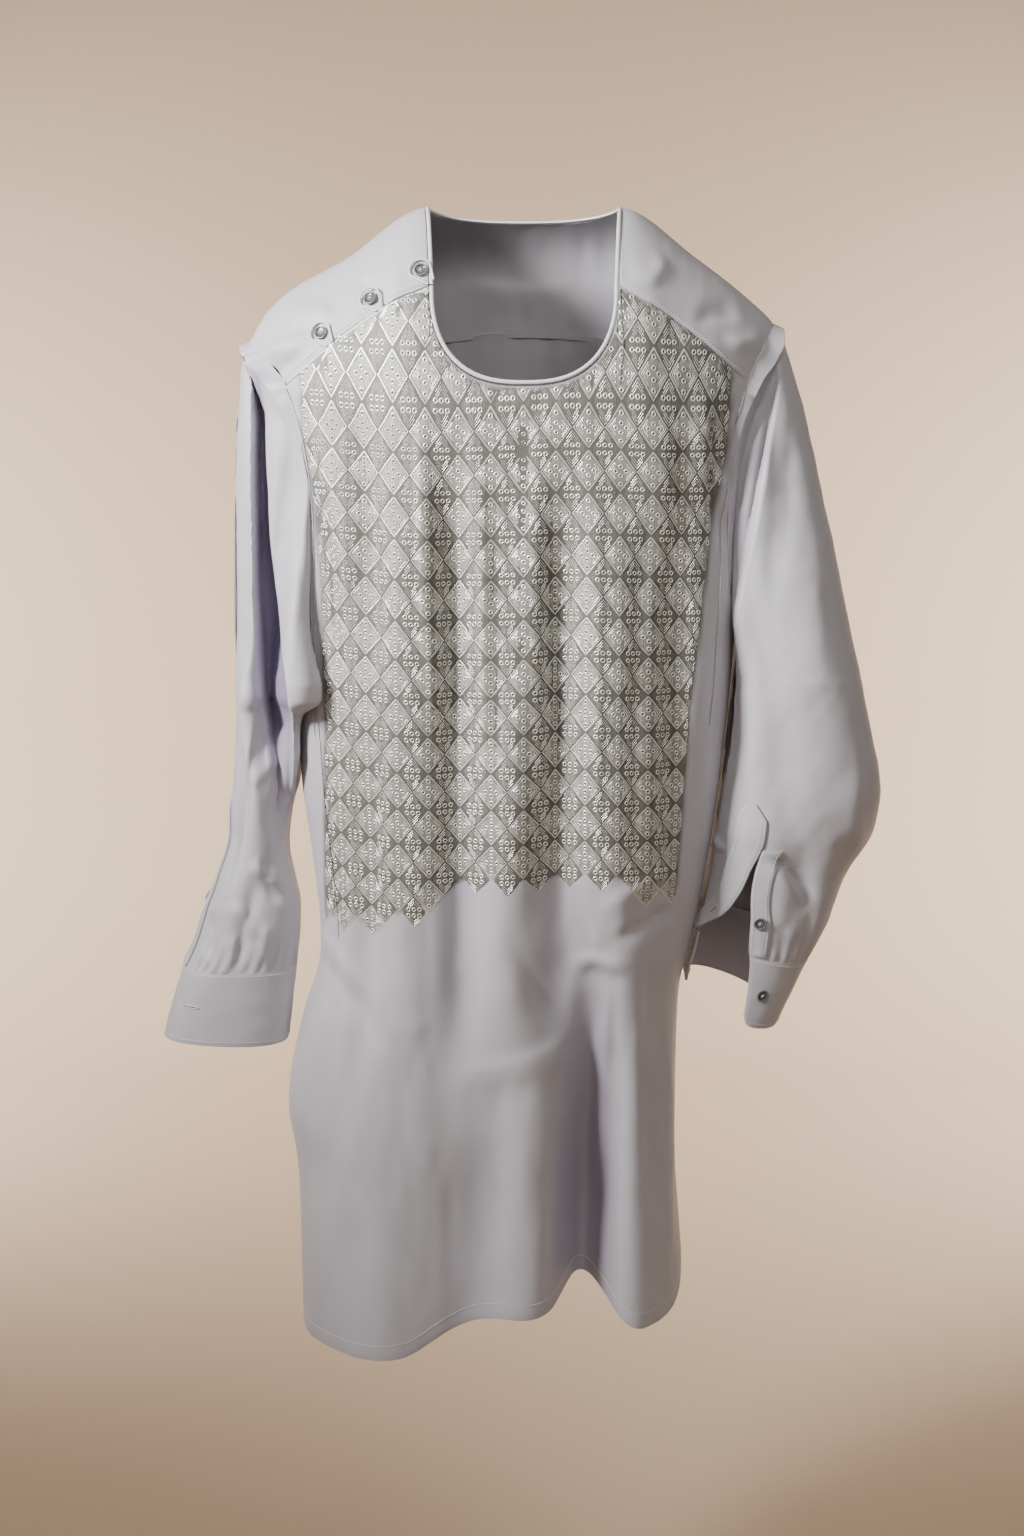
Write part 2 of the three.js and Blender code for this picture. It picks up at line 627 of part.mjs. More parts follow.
// A sleeve's grid: rings that fan round the underarm, then rings at the listed heights
function sleeveGrid(side) {
  const { fan, heights, at } = sleeves[side];
  const grid = [];
  for (let j = 0; j <= SLEEVE.fanRows; j += 1) {
    const way = share(j, SLEEVE.fanRows);
    grid.push(ringAngles(side).map((angle) => {
      const seam = armholeSeam(side, angle);
      if (j === 0) return { ...bodyVertex(seam), hold: (1 + Math.cos(angle)) / 2 };
      const point = onBody(seam.u, seam.s).lerp(sleeveRing(side, fan, angle), way);
      const { crown, crownRise, valleyRise, fanValleyWidth } = SLEEVE;
      point.x += side * crown * Math.max(Math.cos(angle), 0) * Math.sin(Math.PI * way ** crownRise);
      if (Math.sin(angle) > 0) {
        const valley = at(fan).valleyDepth * (way ** valleyRise - way);
        point.y += valley * Math.exp(-(((point.x - at(fan).valleyX) / fanValleyWidth) ** 2));
      }
      return { point: clearOfBody(side, point, BODY_CLEARANCE * Math.min(way * 2, 1)) };
    }));
  }
  for (const z of heights) {
    grid.push(slitAngles(side, z).map((angle) => ({ point: sleeveRing(side, z, angle) })));
  }
  return grid;
}

function slitRow(side) {
  const { apex, heights } = sleeves[side];
  return SLEEVE.fanRows + 1 + heights.findIndex((z) => z <= apex);
}
const sleeveCloth = (side) => wall(sleeveGrid(side), { outward: side, joinedRows: slitRow(side) + 1 });

// A cuff: an open band below the sleeve, with rounded lower corners
const CUFF = { rows: 3, grow: 0.5, drop: 0.9, corner: 9, length: 250 };

function cuffGrid(side) {
  const level = sleeves[side].cuff;
  const last = RING.front + RING.back + 2 * RING.yoke;
  return range(CUFF.rows).map((j) => range(last).map((i) => {
    const toEnd = Math.min(i, last - i) / last * CUFF.length;
    const inset = Math.max(CUFF.corner - toEnd, 0);
    const lift = CUFF.corner - Math.sqrt(CUFF.corner ** 2 - inset ** 2);
    const z = mix(level.top - CUFF.drop, level.bottom + lift, share(j, CUFF.rows));
    return { point: sleeveRing(side, z, slitAngles(side, z)[i], CUFF.grow) };
  }));
}
const cuff = (side) => wall(cuffGrid(side), { thickness: CUFF_WALL, outward: side });

// A point between the vertices of a grid, lifted off it
function onGrid(grid, row, column, lift) {
  const j = Math.min(Math.floor(row), grid.length - 2);
  const i = Math.min(Math.floor(column), grid[0].length - 2);
  const corners = [grid[j][i], grid[j][i + 1], grid[j + 1][i], grid[j + 1][i + 1]].map(({ point }) => point);
  const upper = corners[0].clone().lerp(corners[1], column - i);
  const lower = corners[2].clone().lerp(corners[3], column - i);
  const normal = corners[3].clone().sub(corners[0]).cross(corners[2].clone().sub(corners[1]));
  return upper.lerp(lower, row - j).addScaledVector(normal.normalize(), lift);
}

// A band along one edge of a sleeve's slit, a number of grid columns wide. The lapping one reaches
// some rows above the slit, where it ends in a point.
function placket(side, edge, { width, rise, lift }) {
  const grid = sleeveGrid(side);
  const last = grid[0].length - 1;
  const top = slitRow(side) - rise;
  const turned = edge === "start" ? 1 : -1;
  const rows = range(grid.length - 1 - top).map((j) => range(2).map((i) => {
    const narrowing = rise > 0 ? PLACKET_TOP.narrowing[j] ?? 1 : 1;
    const across = PLACKET_TOP.inset + width * (0.5 + (share(i, 2) - 0.5) * narrowing);
    const column = edge === "start" ? across : last - across;
    return { point: onGrid(grid, top + j, column, side * (lift[side] + BAND_WALL)) };
  }));
  return wall(rows, { thickness: BAND_WALL, outward: side * turned });
}

// Bound edges: bars that finish the cloth's edge, on the opening's side of it
const BAR = [
  [-BINDING.width / 2, -BINDING.thickness / 2],
  [BINDING.width / 2, -BINDING.thickness / 2],
  [BINDING.width / 2, BINDING.thickness / 2],
  [-BINDING.width / 2, BINDING.thickness / 2],
];

function boundEdge(places) {
  const points = places.map(({ u, s }) => onBody(u, s));
  const frames = places.map(({ u, s }, k) => {
    const out = bodyNormal(u, s);
    const next = points[Math.min(k + 1, points.length - 1)];
    const before = points[Math.max(k - 1, 0)];
    const across = next.clone().sub(before).cross(out).normalize();
    return { point: points[k].clone().addScaledVector(out, -CLOTH / 2), across, out };
  });
  return sweep(frames, BAR);
}

function neckBinding() {
  const margin = BINDING.width / 2;
  const { side, back, front } = NECK_STEPS;
  const over = (sign) => range(side).map((k) => neckSide(sign, share(k, side), margin));
  const behind = range(back).slice(1, -1).map((k) => neckBack(share(k, back) * Math.PI, margin));
  const scoop = range(front).slice(0, -1).map((k) => neckFront(share(k, front) * Math.PI, margin));
  scoop[0] = neckFront(SCOOP_ENDS.binding * Math.PI, margin);
  const left = over(-1);
  left[0].s += BINDING.gap;
  return boundEdge([...left, ...behind, ...over(1).reverse(), ...scoop.reverse()].map(fromNeck));
}

function frontEdgeBinding() {
  const middle = BINDING.gap + BINDING.width / 2;
  return boundEdge(range(SEAM_STEPS).map((k) => {
    const place = frontSeams[-1](mix(EDGE_RUN.start, EDGE_RUN.end, share(k, SEAM_STEPS)));
    return placeOf(-1, place.x, place.z - middle);
  }));
}

// Buttons: a rimmed disc, laid on the cloth
function buttonShape() {
  const { radius, foot, waist, shoulder, thickness, rim, slope, dish, sides } = BUTTON;
  const profile = [
    [0, 0],
    [radius - foot, 0],
    [radius, thickness * waist],
    [radius - shoulder, thickness],
    [radius - rim, thickness],
    [radius - rim - slope, thickness - dish],
    [0, thickness - dish],
  ].map(([x, y]) => new THREE.Vector2(x, y));
  return new THREE.LatheGeometry(profile, sides);
}

function layOn(mesh, point, normal, gap = SEAM_GAP) {
  mesh.position.copy(point).addScaledVector(normal, gap);
  mesh.quaternion.setFromUnitVectors(new THREE.Vector3(0, 1, 0), normal);
  return mesh;
}

// Shoulder buttons, and the teardrop cord loop that holds each one
const SHOULDER_BUTTONS = [
  { x: -85, z: -55.5 },
  { x: -127, z: -78 },
  { x: -169, z: -106 },
];

function buttonLoop({ x, z }) {
  const base = placeOf(-1, x, z);
  const centre = onBody(base.u, base.s);
  const out = bodyNormal(base.u, base.s);
  const down = onBody(base.u, base.s - 1).sub(centre).normalize();
  const right = new THREE.Vector3().crossVectors(down, out).negate();
  const tail = down.clone().multiplyScalar(LOOP.down).addScaledVector(right, LOOP.aside).normalize();
  const cross = new THREE.Vector3().crossVectors(out, tail).normalize();
  const path = range(LOOP.steps).map((k) => {
    const angle = mix(LOOP.mouth[0], LOOP.mouth[1], share(k, LOOP.steps)) * Math.PI;
    const towardsTail = Math.max(Math.cos(angle), 0);
    const along = Math.cos(angle) * LOOP.reach + towardsTail ** 3 * (LOOP.tail - LOOP.reach);
    const aside = Math.sin(angle) * LOOP.reach * (1 - LOOP.pinch * towardsTail);
    const flat = centre.clone().addScaledVector(tail, along).addScaledVector(cross, aside);
    const place = placeOf(-1, flat.x, flat.z);
    return onBody(place.u, place.s).addScaledVector(bodyNormal(place.u, place.s), LOOP.lift);
  });
  const curve = new THREE.CatmullRomCurve3(path);
  const frames = path.map((point, k) => {
    const tangent = curve.getTangentAt(share(k, LOOP.steps));
    const across = new THREE.Vector3().crossVectors(tangent, out).normalize();
    return { point, across, out: new THREE.Vector3().crossVectors(across, tangent).normalize() };
  });
  const section = range(LOOP.sides - 1).map((k) => {
    const angle = share(k, LOOP.sides) * 2 * Math.PI;
    return [Math.cos(angle) * LOOP.cord, Math.sin(angle) * LOOP.cord];
  });
  return sweep(frames, section);
}

// The buttons of a cuff and its slit sit near the edge of the slit that lies under
const SLEEVE_BUTTONS = { cuff: { share: 0.5, column: 1.15 }, placket: { row: 1.6, column: 0.5 } };

function sleeveButtons(side, name) {
  const last = RING.front + RING.back + 2 * RING.yoke;
  const { column: cuffColumn, share: cuffShare } = SLEEVE_BUTTONS.cuff;
  const cuffSeat = onGrid(cuffGrid(side), cuffShare * CUFF.rows, last - cuffColumn, 0);
  const cuffAbove = onGrid(cuffGrid(side), cuffShare * CUFF.rows, last - cuffColumn, side);
  const cuffButton = add(`cuff_button_${name}`, buttonShape(), pearl);
  layOn(cuffButton, cuffSeat, cuffAbove.sub(cuffSeat).normalize());
  const { column, row } = SLEEVE_BUTTONS.placket;
  const grid = sleeveGrid(side);
  const seatLift = side * (UNDER_BAND.lift[side] + BAND_WALL);
  const slitSeat = onGrid(grid, grid.length - 1 - row, last - column, seatLift);
  const slitBelow = onGrid(grid, grid.length - 1 - row, last - column, 0);
  const slitButton = add(`placket_button_${name}`, buttonShape(), pearl);
  layOn(slitButton, slitSeat, slitSeat.clone().sub(slitBelow).normalize());
}

// Finishes
const cloth = new THREE.MeshStandardMaterial({ color: 0xcfcbdc, roughness: 0.5, metalness: 0 });
const piping = new THREE.MeshStandardMaterial({ color: 0xe6e4ee, roughness: 0.45, metalness: 0 });
const pearl = new THREE.MeshStandardMaterial({ color: 0xa9a8b0, roughness: 0.25, metalness: 0 });

const perahan = new THREE.Group();
function add(name, geometry, material) {
  const mesh = new THREE.Mesh(geometry, material);
  mesh.name = name;
  perahan.add(mesh);
  return mesh;
}

add("front", frontPanel(), cloth);
add("back", backPanel(), cloth);
add("yoke", yoke(), cloth);
add("neck_binding", neckBinding(), piping);
add("front_edge_binding", frontEdgeBinding(), piping);

const WEARER_SIDES = { "-1": "right", 1: "left" };
for (const side of [-1, 1]) {
  const name = WEARER_SIDES[side];
  add(`sleeve_${name}`, sleeveCloth(side), cloth);
  add(`cuff_${name}`, cuff(side), cloth);
  add(`placket_${name}`, placket(side, "start", LAPPING_BAND), cloth);
  add(`slit_band_${name}`, placket(side, "end", UNDER_BAND), cloth);
  sleeveButtons(side, name);
}

SHOULDER_BUTTONS.forEach((place, k) => {
  const { u, s } = placeOf(-1, place.x, place.z);
  const button = add(`shoulder_button_${k + 1}`, buttonShape(), pearl);
  layOn(button, onBody(u, s), bodyNormal(u, s), LAY_GAP);
  add(`button_loop_${k + 1}`, buttonLoop(place), piping);
});

export default perahan;
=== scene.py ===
import math
from types import SimpleNamespace

import bpy
import numpy as np
from bpy.props import FloatProperty, FloatVectorProperty, PointerProperty
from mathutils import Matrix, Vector


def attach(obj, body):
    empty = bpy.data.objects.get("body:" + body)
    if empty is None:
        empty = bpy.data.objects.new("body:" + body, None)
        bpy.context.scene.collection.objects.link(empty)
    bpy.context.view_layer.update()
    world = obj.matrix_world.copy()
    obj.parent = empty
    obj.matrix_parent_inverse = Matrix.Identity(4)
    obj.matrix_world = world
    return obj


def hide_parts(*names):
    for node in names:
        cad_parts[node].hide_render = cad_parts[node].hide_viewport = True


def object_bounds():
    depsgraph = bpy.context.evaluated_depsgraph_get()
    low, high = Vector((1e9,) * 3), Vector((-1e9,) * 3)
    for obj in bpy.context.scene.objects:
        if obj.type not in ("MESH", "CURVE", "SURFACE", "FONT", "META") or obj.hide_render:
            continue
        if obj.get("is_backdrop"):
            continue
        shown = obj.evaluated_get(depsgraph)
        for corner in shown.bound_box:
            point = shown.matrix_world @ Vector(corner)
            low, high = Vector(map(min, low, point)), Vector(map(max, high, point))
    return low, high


bl_info = {
    "name": "Perahan tunic",
    "version": (1, 0, 0),
    "blender": (4, 5, 0),
    "location": "View3D > Sidebar > Perahan",
    "description": "Makes a long embroidered tunic, piece by piece, on its packed model",
    "category": "Add Mesh",
}

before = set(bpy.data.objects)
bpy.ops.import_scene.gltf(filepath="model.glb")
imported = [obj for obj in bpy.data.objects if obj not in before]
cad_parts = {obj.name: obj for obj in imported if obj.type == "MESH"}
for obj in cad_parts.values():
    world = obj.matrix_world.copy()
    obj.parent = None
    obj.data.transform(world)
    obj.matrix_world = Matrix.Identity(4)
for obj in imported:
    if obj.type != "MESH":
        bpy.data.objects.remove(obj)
CAD_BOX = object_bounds()

# The tables and sizes below are in millimetres, as in the part's source; meshes are in metres
MM = 0.001
RIGHT = -1
LEFT = 1
WEARER_SIDES = {RIGHT: "right", LEFT: "left"}


def table(columns, rows):
    """Reads a short table: smooth values between its rows, by the value in the first column."""
    names = columns.split()
    values = np.array(rows, float)
    keys = values[:, 0]
    last = len(rows) - 1
    direction = np.sign(keys[-1] - keys[0])
    secants = np.diff(values, axis=0) / np.diff(keys)[:, None]
    before = secants[np.maximum(np.arange(last + 1) - 1, 0)]
    after = secants[np.minimum(np.arange(last + 1), last - 1)]
    mean = (before + after) / 2
    steepest = np.minimum(3 * np.abs(before), 3 * np.abs(after))
    slopes = np.where(before * after <= 0, 0, np.sign(mean) * np.minimum(np.abs(mean), steepest))

    def read(key):
        key = np.asarray(key, float)
        row = np.searchsorted(keys[1:] * direction, key * direction)
        row = np.clip(row, 0, last - 1)
        span = (keys[row + 1] - keys[row])[..., None]
        share = np.clip((key - keys[row])[..., None] / span, 0, 1)
        rest = 1 - share
        found = (
            values[row] * rest**2 * (1 + 2 * share)
            + values[row + 1] * share**2 * (1 + 2 * rest)
            + slopes[row] * span * share * rest**2
            - slopes[row + 1] * span * share**2 * rest
        )
        return SimpleNamespace(**{name: found[..., k] for k, name in enumerate(names)})

    return read


# Body: squareness of its sections, and the rounding from the shoulder ridge to front and back
SECTION_POWER = 2.6
FRONT_ARCH = (180, 218)
BACK_ARCH = (60, 115)
RIDGE_CENTRE = -10
RIDGE_HALF = 235
UNDERARM = -345
SLIT_TOP = -850
SLIT_RUN = 150
SLIT_OPENING = 9
SEAM_GAP = 0.4
SIDE_SEAM_FROM = 0.85
YOKE_END = -146

body_at = table("z left right front back", [
    [0, -245, 225, 92, 82],
    [-112, -245, 225, 94, 86],
    [-146, -233, 213, 95, 88],
    [-200, -214, 199, 96, 90],
    [-260, -208, 192, 97, 92],
    [-345, -205, 188, 98, 92],
    [-427, -202, 183, 98, 92],
    [-504, -197, 175, 98, 90],
    [-560, -190, 168, 97, 88],
    [-640, -183, 154, 96, 86],
    [-675, -188, 145, 96, 86],
    [-708, -199, 142, 96, 86],
    [-800, -216, 141, 96, 88],
    [-852, -209, 142, 95, 90],
    [-952, -206, 149, 94, 90],
    [-1040, -205, 150, 94, 90],
])

ridge_at = table("x z", [
    [-245, -124],
    [-236, -112],
    [-220, -87],
    [-150, -42],
    [-81, 0],
    [0, 1],
    [81, 0],
    [148, -42],
    [205, -86],
    [216, -97],
    [225, -110],
])

ARMHOLE_TOP = {RIGHT: -112, LEFT: -97}
armhole_edge_at = {
    RIGHT: table("z front back", [
        [-112, -236, -236],
        [YOKE_END, -202, -216],
        [-194, -188, -203],
        [-245, -181, -197],
        [-300, -181, -195],
        [-330, -191, -199],
        [UNDERARM, -205, -205],
    ]),
    LEFT: table("z front back", [
        [-97, 216, 216],
        [-120, 203, 209],
        [YOKE_END, 190, 200],
        [-175, 181, 191],
        [-221, 176, 184],
        [-300, 175, 182],
        [-330, 180, 184],
        [UNDERARM, 188, 188],
    ]),
}

# Long folds of front and back: face, crest line, height range, swell, half-width, length of the fade
FOLDS = [
    (-1, -60, -52, -170, -760, -12, 16, 160),
    (-1, -98, -112, -150, -760, 7, 24, 160),
    (-1, -8, -14, -300, -760, 9, 22, 200),
    (-1, 34, 30, -190, -740, -11, 19, 160),
    (-1, 84, 86, -220, -760, 9, 26, 180),
    (-1, 128, 128, -170, -560, -6, 16, 120),
    (-1, 66, 52, -560, -1120, -60, 25, 340),
    (-1, 98, 106, -600, -1120, 15, 33, 260),
    (-1, -20, -66, -700, -1120, -9, 26, 200),
    (-1, -150, -128, -640, -1120, 20, 48, 300),
    (-1, 6, 0, -660, -1120, 8, 26, 240),
    (1, -90, -110, -250, -1120, 14, 34, 300),
    (1, -30, -34, -300, -1120, -15, 26, 340),
    (1, 26, 32, -220, -1120, 12, 32, 300),
    (1, 84, 92, -340, -1120, -13, 24, 340),
    (1, -140, -156, -460, -1120, -10, 22, 300),
]


def smooth_step(low, high, value):
    share = np.clip((value - low) / (high - low), 0, 1)
    return share * share * (3 - 2 * share)


def mix(start, end, share):
    return start + (end - start) * share


def fold_swell(face, x, z):
    """How far the long folds stand out at a place."""
    swell = np.zeros(np.broadcast(x, z).shape)
    for fold_face, top_x, bottom_x, top_z, bottom_z, height, width, fade in FOLDS:
        run = np.clip((top_z - z) / (top_z - bottom_z), 0, 1)
        fades = smooth_step(0, fade, top_z - z) * smooth_step(0, min(fade, 100), z - bottom_z)
        ridge = np.exp(-(((x - mix(top_x, bottom_x, run)) / width) ** 2))
        swell += np.where(face == fold_face, height * fades * ridge, 0)
    return swell


def unit(vectors):
    return vectors / np.maximum(np.linalg.norm(vectors, axis=-1, keepdims=True), 1e-12)


def on_body(u, s):
    """Places on the body: u from the right side seam (-1) to the left one (1), s down from the ridge."""
    u, s = np.broadcast_arrays(np.asarray(u, float), np.asarray(s, float))
    turn = np.minimum(np.abs(u), 1) * math.pi / 2
    lateral = np.sign(u) * np.sin(turn) ** (2 / SECTION_POWER)
    depth_share = np.maximum(np.cos(turn), 0) ** (2 / SECTION_POWER)
    face = np.where(s < 0, -1, 1)
    height = np.where(s < 0, FRONT_ARCH[0], BACK_ARCH[0])
    length = np.where(s < 0, FRONT_ARCH[1], BACK_ARCH[1])
    ridge = ridge_at(RIDGE_CENTRE + RIDGE_HALF * lateral).z
    bend = np.minimum(np.abs(s) / length, 1) * math.pi / 2
    z = ridge - height * (1 - np.cos(bend)) - np.maximum(np.abs(s) - length, 0)
    row = body_at(z)
    x = (row.left + row.right) / 2 + lateral * (row.right - row.left) / 2
    depth = np.where(s < 0, row.front, row.back)
    slit = SLIT_OPENING * smooth_step(0, SLIT_RUN, SLIT_TOP - z)
    slit = slit + SEAM_GAP / 2 * smooth_step(SIDE_SEAM_FROM, 1, np.abs(u))
    y = face * (depth * depth_share * np.sin(bend) + fold_swell(face, x, z) * depth_share + slit)
    return np.stack([x, y, z], axis=-1)


def body_normal(u, s, surface=on_body):
    step = 1e-3
    across = surface(np.minimum(u + step, 1), s) - surface(np.maximum(u - step, -1), s)
    along = surface(u, s + 1) - surface(u, s - 1)
    return unit(np.cross(across, along))


def place_of(face, x, z):
    """The body's own coordinates of places given by their front view."""
    x, z = np.broadcast_arrays(np.asarray(x, float), np.asarray(z, float))
    row = body_at(z)
    lateral = (x - (row.left + row.right) / 2) / ((row.right - row.left) / 2)
    share = np.minimum(np.abs(lateral), 1)
    u = np.sign(lateral) * np.arcsin(share ** (SECTION_POWER / 2)) * 2 / math.pi
    ridge = ridge_at(RIDGE_CENTRE + RIDGE_HALF * np.sign(lateral) * share).z
    height, length = FRONT_ARCH if face < 0 else BACK_ARCH
    fall = np.maximum(ridge - z, 0)
    curved = length * np.arccos(np.clip(1 - fall / height, -1, 1)) * 2 / math.pi
    along = np.where(fall < height, curved, length + fall - height)
    return u, face * along


# Creases: each runs from one point of the front view to another, with a sideways
# bend, a height (+ ridge, - trough), a half-width and a skew that makes one flank steeper
CREASE_SCALE = 1.35
FRONT_CREASES = [
    (150, -150, 186, -262, 12, 3.2, 9, 0.3),
    (160, -168, 176, -300, 8, -3.0, 8, -0.3),
    (120, -150, 150, -330, 14, 2.2, 14, 0.2),
    (-180, -170, -150, -330, -10, 2.4, 14, -0.2),
    (-190, -200, -160, -420, -8, -2.2, 10, 0.2),
    (-150, -120, -120, -420, -6, -2.5, 12, 0.3),
    (-84, -150, -72, -480, 4, 3.0, 9, -0.4),
    (-40, -160, -34, -520, -4, 2.6, 10, 0.4),
    (10, -150, 20, -560, 5, 2.4, 11, -0.3),
    (56, -170, 60, -600, -5, 2.6, 11, 0.4),
    (104, -200, 98, -640, 4, -3.0, 11, 0.3),
    (-120, -420, -138, -780, 6, -3.6, 13, 0.4),
    (-150, -520, -170, -800, -6, 3.0, 12, -0.3),
    (-100, -600, -96, -960, -5, 1.4, 24, 0.4),
    (-66, -640, -52, -960, 5, -1.4, 22, -0.3),
    (-14, -596, 50, -712, 9, -2.2, 10, 0.4),
    (8, -600, 62, -690, 7, 1.2, 11, -0.3),
    (-64, -746, 52, -712, 5, 1.7, 17, 0.45),
    (-60, -768, 40, -736, 7, -0.8, 16, 0.2),
    (40, -640, 96, -650, -5, 1.9, 8, 0.5),
    (44, -654, 92, -664, -5, -1.3, 9, 0.3),
    (-116, -702, -76, -694, 2, 0.5, 9, 0.3),
    (74, -640, 66, -900, -4, 3.0, 9, 0.5),
    (-36, -740, -46, -980, 4, 1.3, 20, 0.3),
    (112, -620, 126, -930, 5, -3.4, 11, -0.4),
    (130, -700, 134, -980, -3, 2.4, 8, 0.3),
    (-184, -700, -186, -900, -8, -2.2, 16, 0.2),
    (-160, -860, -140, -1010, 5, -1.6, 18, -0.3),
    (-196, -620, -130, -690, -6, 2.0, 10, 0.3),
    (-186, -650, -120, -730, -8, -1.6, 9, -0.3),
    (60, -600, 140, -560, -5, 1.8, 9, 0.3),
    (70, -630, 146, -600, -6, -2.0, 8, 0.2),
]
BACK_CREASES = [
    (-60, -115, -70, -360, 6, 2.6, 12, 0.3),
    (60, -115, 66, -380, -6, 2.4, 12, -0.3),
    (0, -118, 4, -420, 5, -2.6, 13, 0.2),
    (-150, -180, -120, -380, -12, 3.0, 14, 0.3),
    (150, -180, 118, -400, 12, 2.8, 14, -0.3),
    (-178, -250, -140, -470, -10, -2.6, 10, 0.2),
    (174, -250, 140, -460, 10, -2.4, 10, 0.2),
    (-116, -420, -128, -820, 6, -3.6, 13, 0.4),
    (-70, -520, -66, -960, -6, 3.4, 14, -0.4),
    (0, -560, -8, -970, 5, 3.6, 12, 0.4),
    (56, -600, 64, -960, -5, -4.2, 11, 0.3),
    (112, -560, 122, -940, 6, 3.2, 12, -0.3),
    (-170, -560, -186, -880, -6, 2.6, 12, 0.3),
    (-180, -610, -110, -700, -7, 2.2, 10, 0.3),
    (140, -600, 70, -690, 7, 2.0, 10, -0.3),
]
YOKE_FRONT_CREASES = [
    (-232, -120, -176, -104, 5, 2.6, 7, 0.3),
    (-226, -138, -182, -122, 4, -2.2, 6, 0.2),
    (-206, -92, -150, -92, -4, 1.8, 8, 0.2),
    (-140, -60, -110, -76, 3, -1.6, 7, 0.3),
    (208, -108, 168, -112, -5, 2.4, 7, 0.3),
    (186, -92, 140, -96, 4, -1.8, 8, 0.2),
    (120, -40, 96, -70, -4, 1.8, 8, 0.2),
]
YOKE_BACK_CREASES = [
    (-190, -110, -110, -96, 6, 2.0, 10, 0.2),
    (180, -110, 100, -94, -6, 2.0, 10, 0.2),
    (-60, -60, 50, -66, 6, -1.8, 12, 0.2),
]
SLEEVE_FRONT_CREASES = {
    RIGHT: [
        (-198, -130, -176, -395, 6, -0.8, 7, 0.3),
        (-204, -200, -196, -400, -4, 1.2, 9, 0.3),
        (-238, -190, -240, -430, 3, -2.4, 6, 0.2),
        (-238, -386, -252, -520, -5, 4.2, 7, 0.5),
        (-246, -430, -262, -600, -4, -4.4, 6, -0.4),
        (-222, -420, -214, -530, 4, 4.2, 7, 0.4),
        (-206, -436, -232, -470, 3, -2.6, 6, 0.3),
        (-238, -560, -220, -590, 4, 3.2, 6, 0.4),
        (-232, -574, -214, -606, 3, -2.8, 5, 0.2),
        (-262, -600, -238, -640, -4, 3.0, 7, 0.3),
        (-276, -610, -280, -662, 3, -2.6, 5, 0.2),
        (-258, -630, -260, -668, 2, 2.4, 5, 0.2),
        (-228, -620, -232, -668, 2, 2.2, 6, 0.2),
        (-215, -470, -240, -500, 3, 2.0, 6, 0.2),
    ],
    LEFT: [
        (219, -132, 188, -306, 7, 3.2, 8, 0.5),
        (206, -136, 182, -290, 5, -3.0, 6, -0.3),
        (228, -150, 214, -330, -5, -2.0, 11, 0.2),
        (250, -250, 262, -440, 6, 2.0, 16, 0.2),
        (190, -340, 186, -520, -4, -2.6, 10, 0.3),
        (210, -553, 262, -600, -5, -2.6, 5, 0.4),
        (212, -560, 254, -622, -6, 1.8, 6, 0.4),
        (170, -540, 182, -556, 2, 2.6, 4, 0.4),
        (256, -600, 246, -646, 3, 1.6, 7, 0.2),
        (232, -616, 232, -650, 2, -1.2, 6, 0.2),
        (290, -470, 300, -560, 6, 2.2, 12, 0.2),
    ],
}
SLEEVE_BACK_CREASES = {
    RIGHT: [
        (-205, -170, -190, -390, 5, 2.4, 9, 0.3),
        (-230, -200, -226, -430, -4, -2.6, 8, 0.2),
        (-236, -400, -222, -540, 5, 3.2, 8, 0.3),
        (-226, -430, -250, -560, -4, -3.0, 7, 0.3),
        (-262, -590, -232, -634, -4, 2.6, 7, 0.3),
        (-240, -620, -246, -668, 2, -2.2, 6, 0.2),
    ],
    LEFT: [
        (206, -160, 196, -330, 6, 2.6, 10, 0.3),
        (236, -200, 226, -420, -5, -2.4, 12, 0.2),
        (280, -420, 220, -520, -10, 2.8, 12, 0.3),
        (290, -500, 230, -590, -10, -3.0, 9, 0.3),
        (262, -560, 214, -640, -5, 3.0, 9, 0.2),
    ],
}


def crease_height(x, z, creases, fade=0.34):
    """Height of the creases at a place, each a soft ridge or trough along a bent line."""
    height = np.zeros(np.broadcast(x, z).shape)
    for x0, z0, x1, z1, bend, rise, width, skew in creases:
        length = math.hypot(x1 - x0, z1 - z0)
        way = ((x - x0) * (x1 - x0) + (z - z0) * (z1 - z0)) / length**2
        aside = ((x - x0) * (z1 - z0) - (z - z0) * (x1 - x0)) / length
        aside = aside - bend * 4 * way * (1 - way)
        flank = np.where(aside > 0, 1 + skew, 1 - skew)
        ends = smooth_step(0, fade, way) * smooth_step(0, fade, 1 - way)
        height += CREASE_SCALE * rise * ends * np.exp(-((aside / (width * flank)) ** 2))
    return height


def soft_noise(x, z, size, seed):
    """Smooth, repeatable unevenness between -1 and 1 with bumps of the given size."""
    lattice = np.random.RandomState(seed).uniform(-1, 1, (64, 64))
    a = np.asarray(x, float) / size + 31
    b = np.asarray(z, float) / size + 17
    i = np.floor(a).astype(int)
    j = np.floor(b).astype(int)
    p = (a - i) ** 2 * (3 - 2 * (a - i))
    q = (b - j) ** 2 * (3 - 2 * (b - j))
    corner = lambda di, dj: lattice[(i + di) % 64, (j + dj) % 64]
    near = mix(corner(0, 0), corner(1, 0), p)
    far = mix(corner(0, 1), corner(1, 1), p)
    return mix(near, far, q)


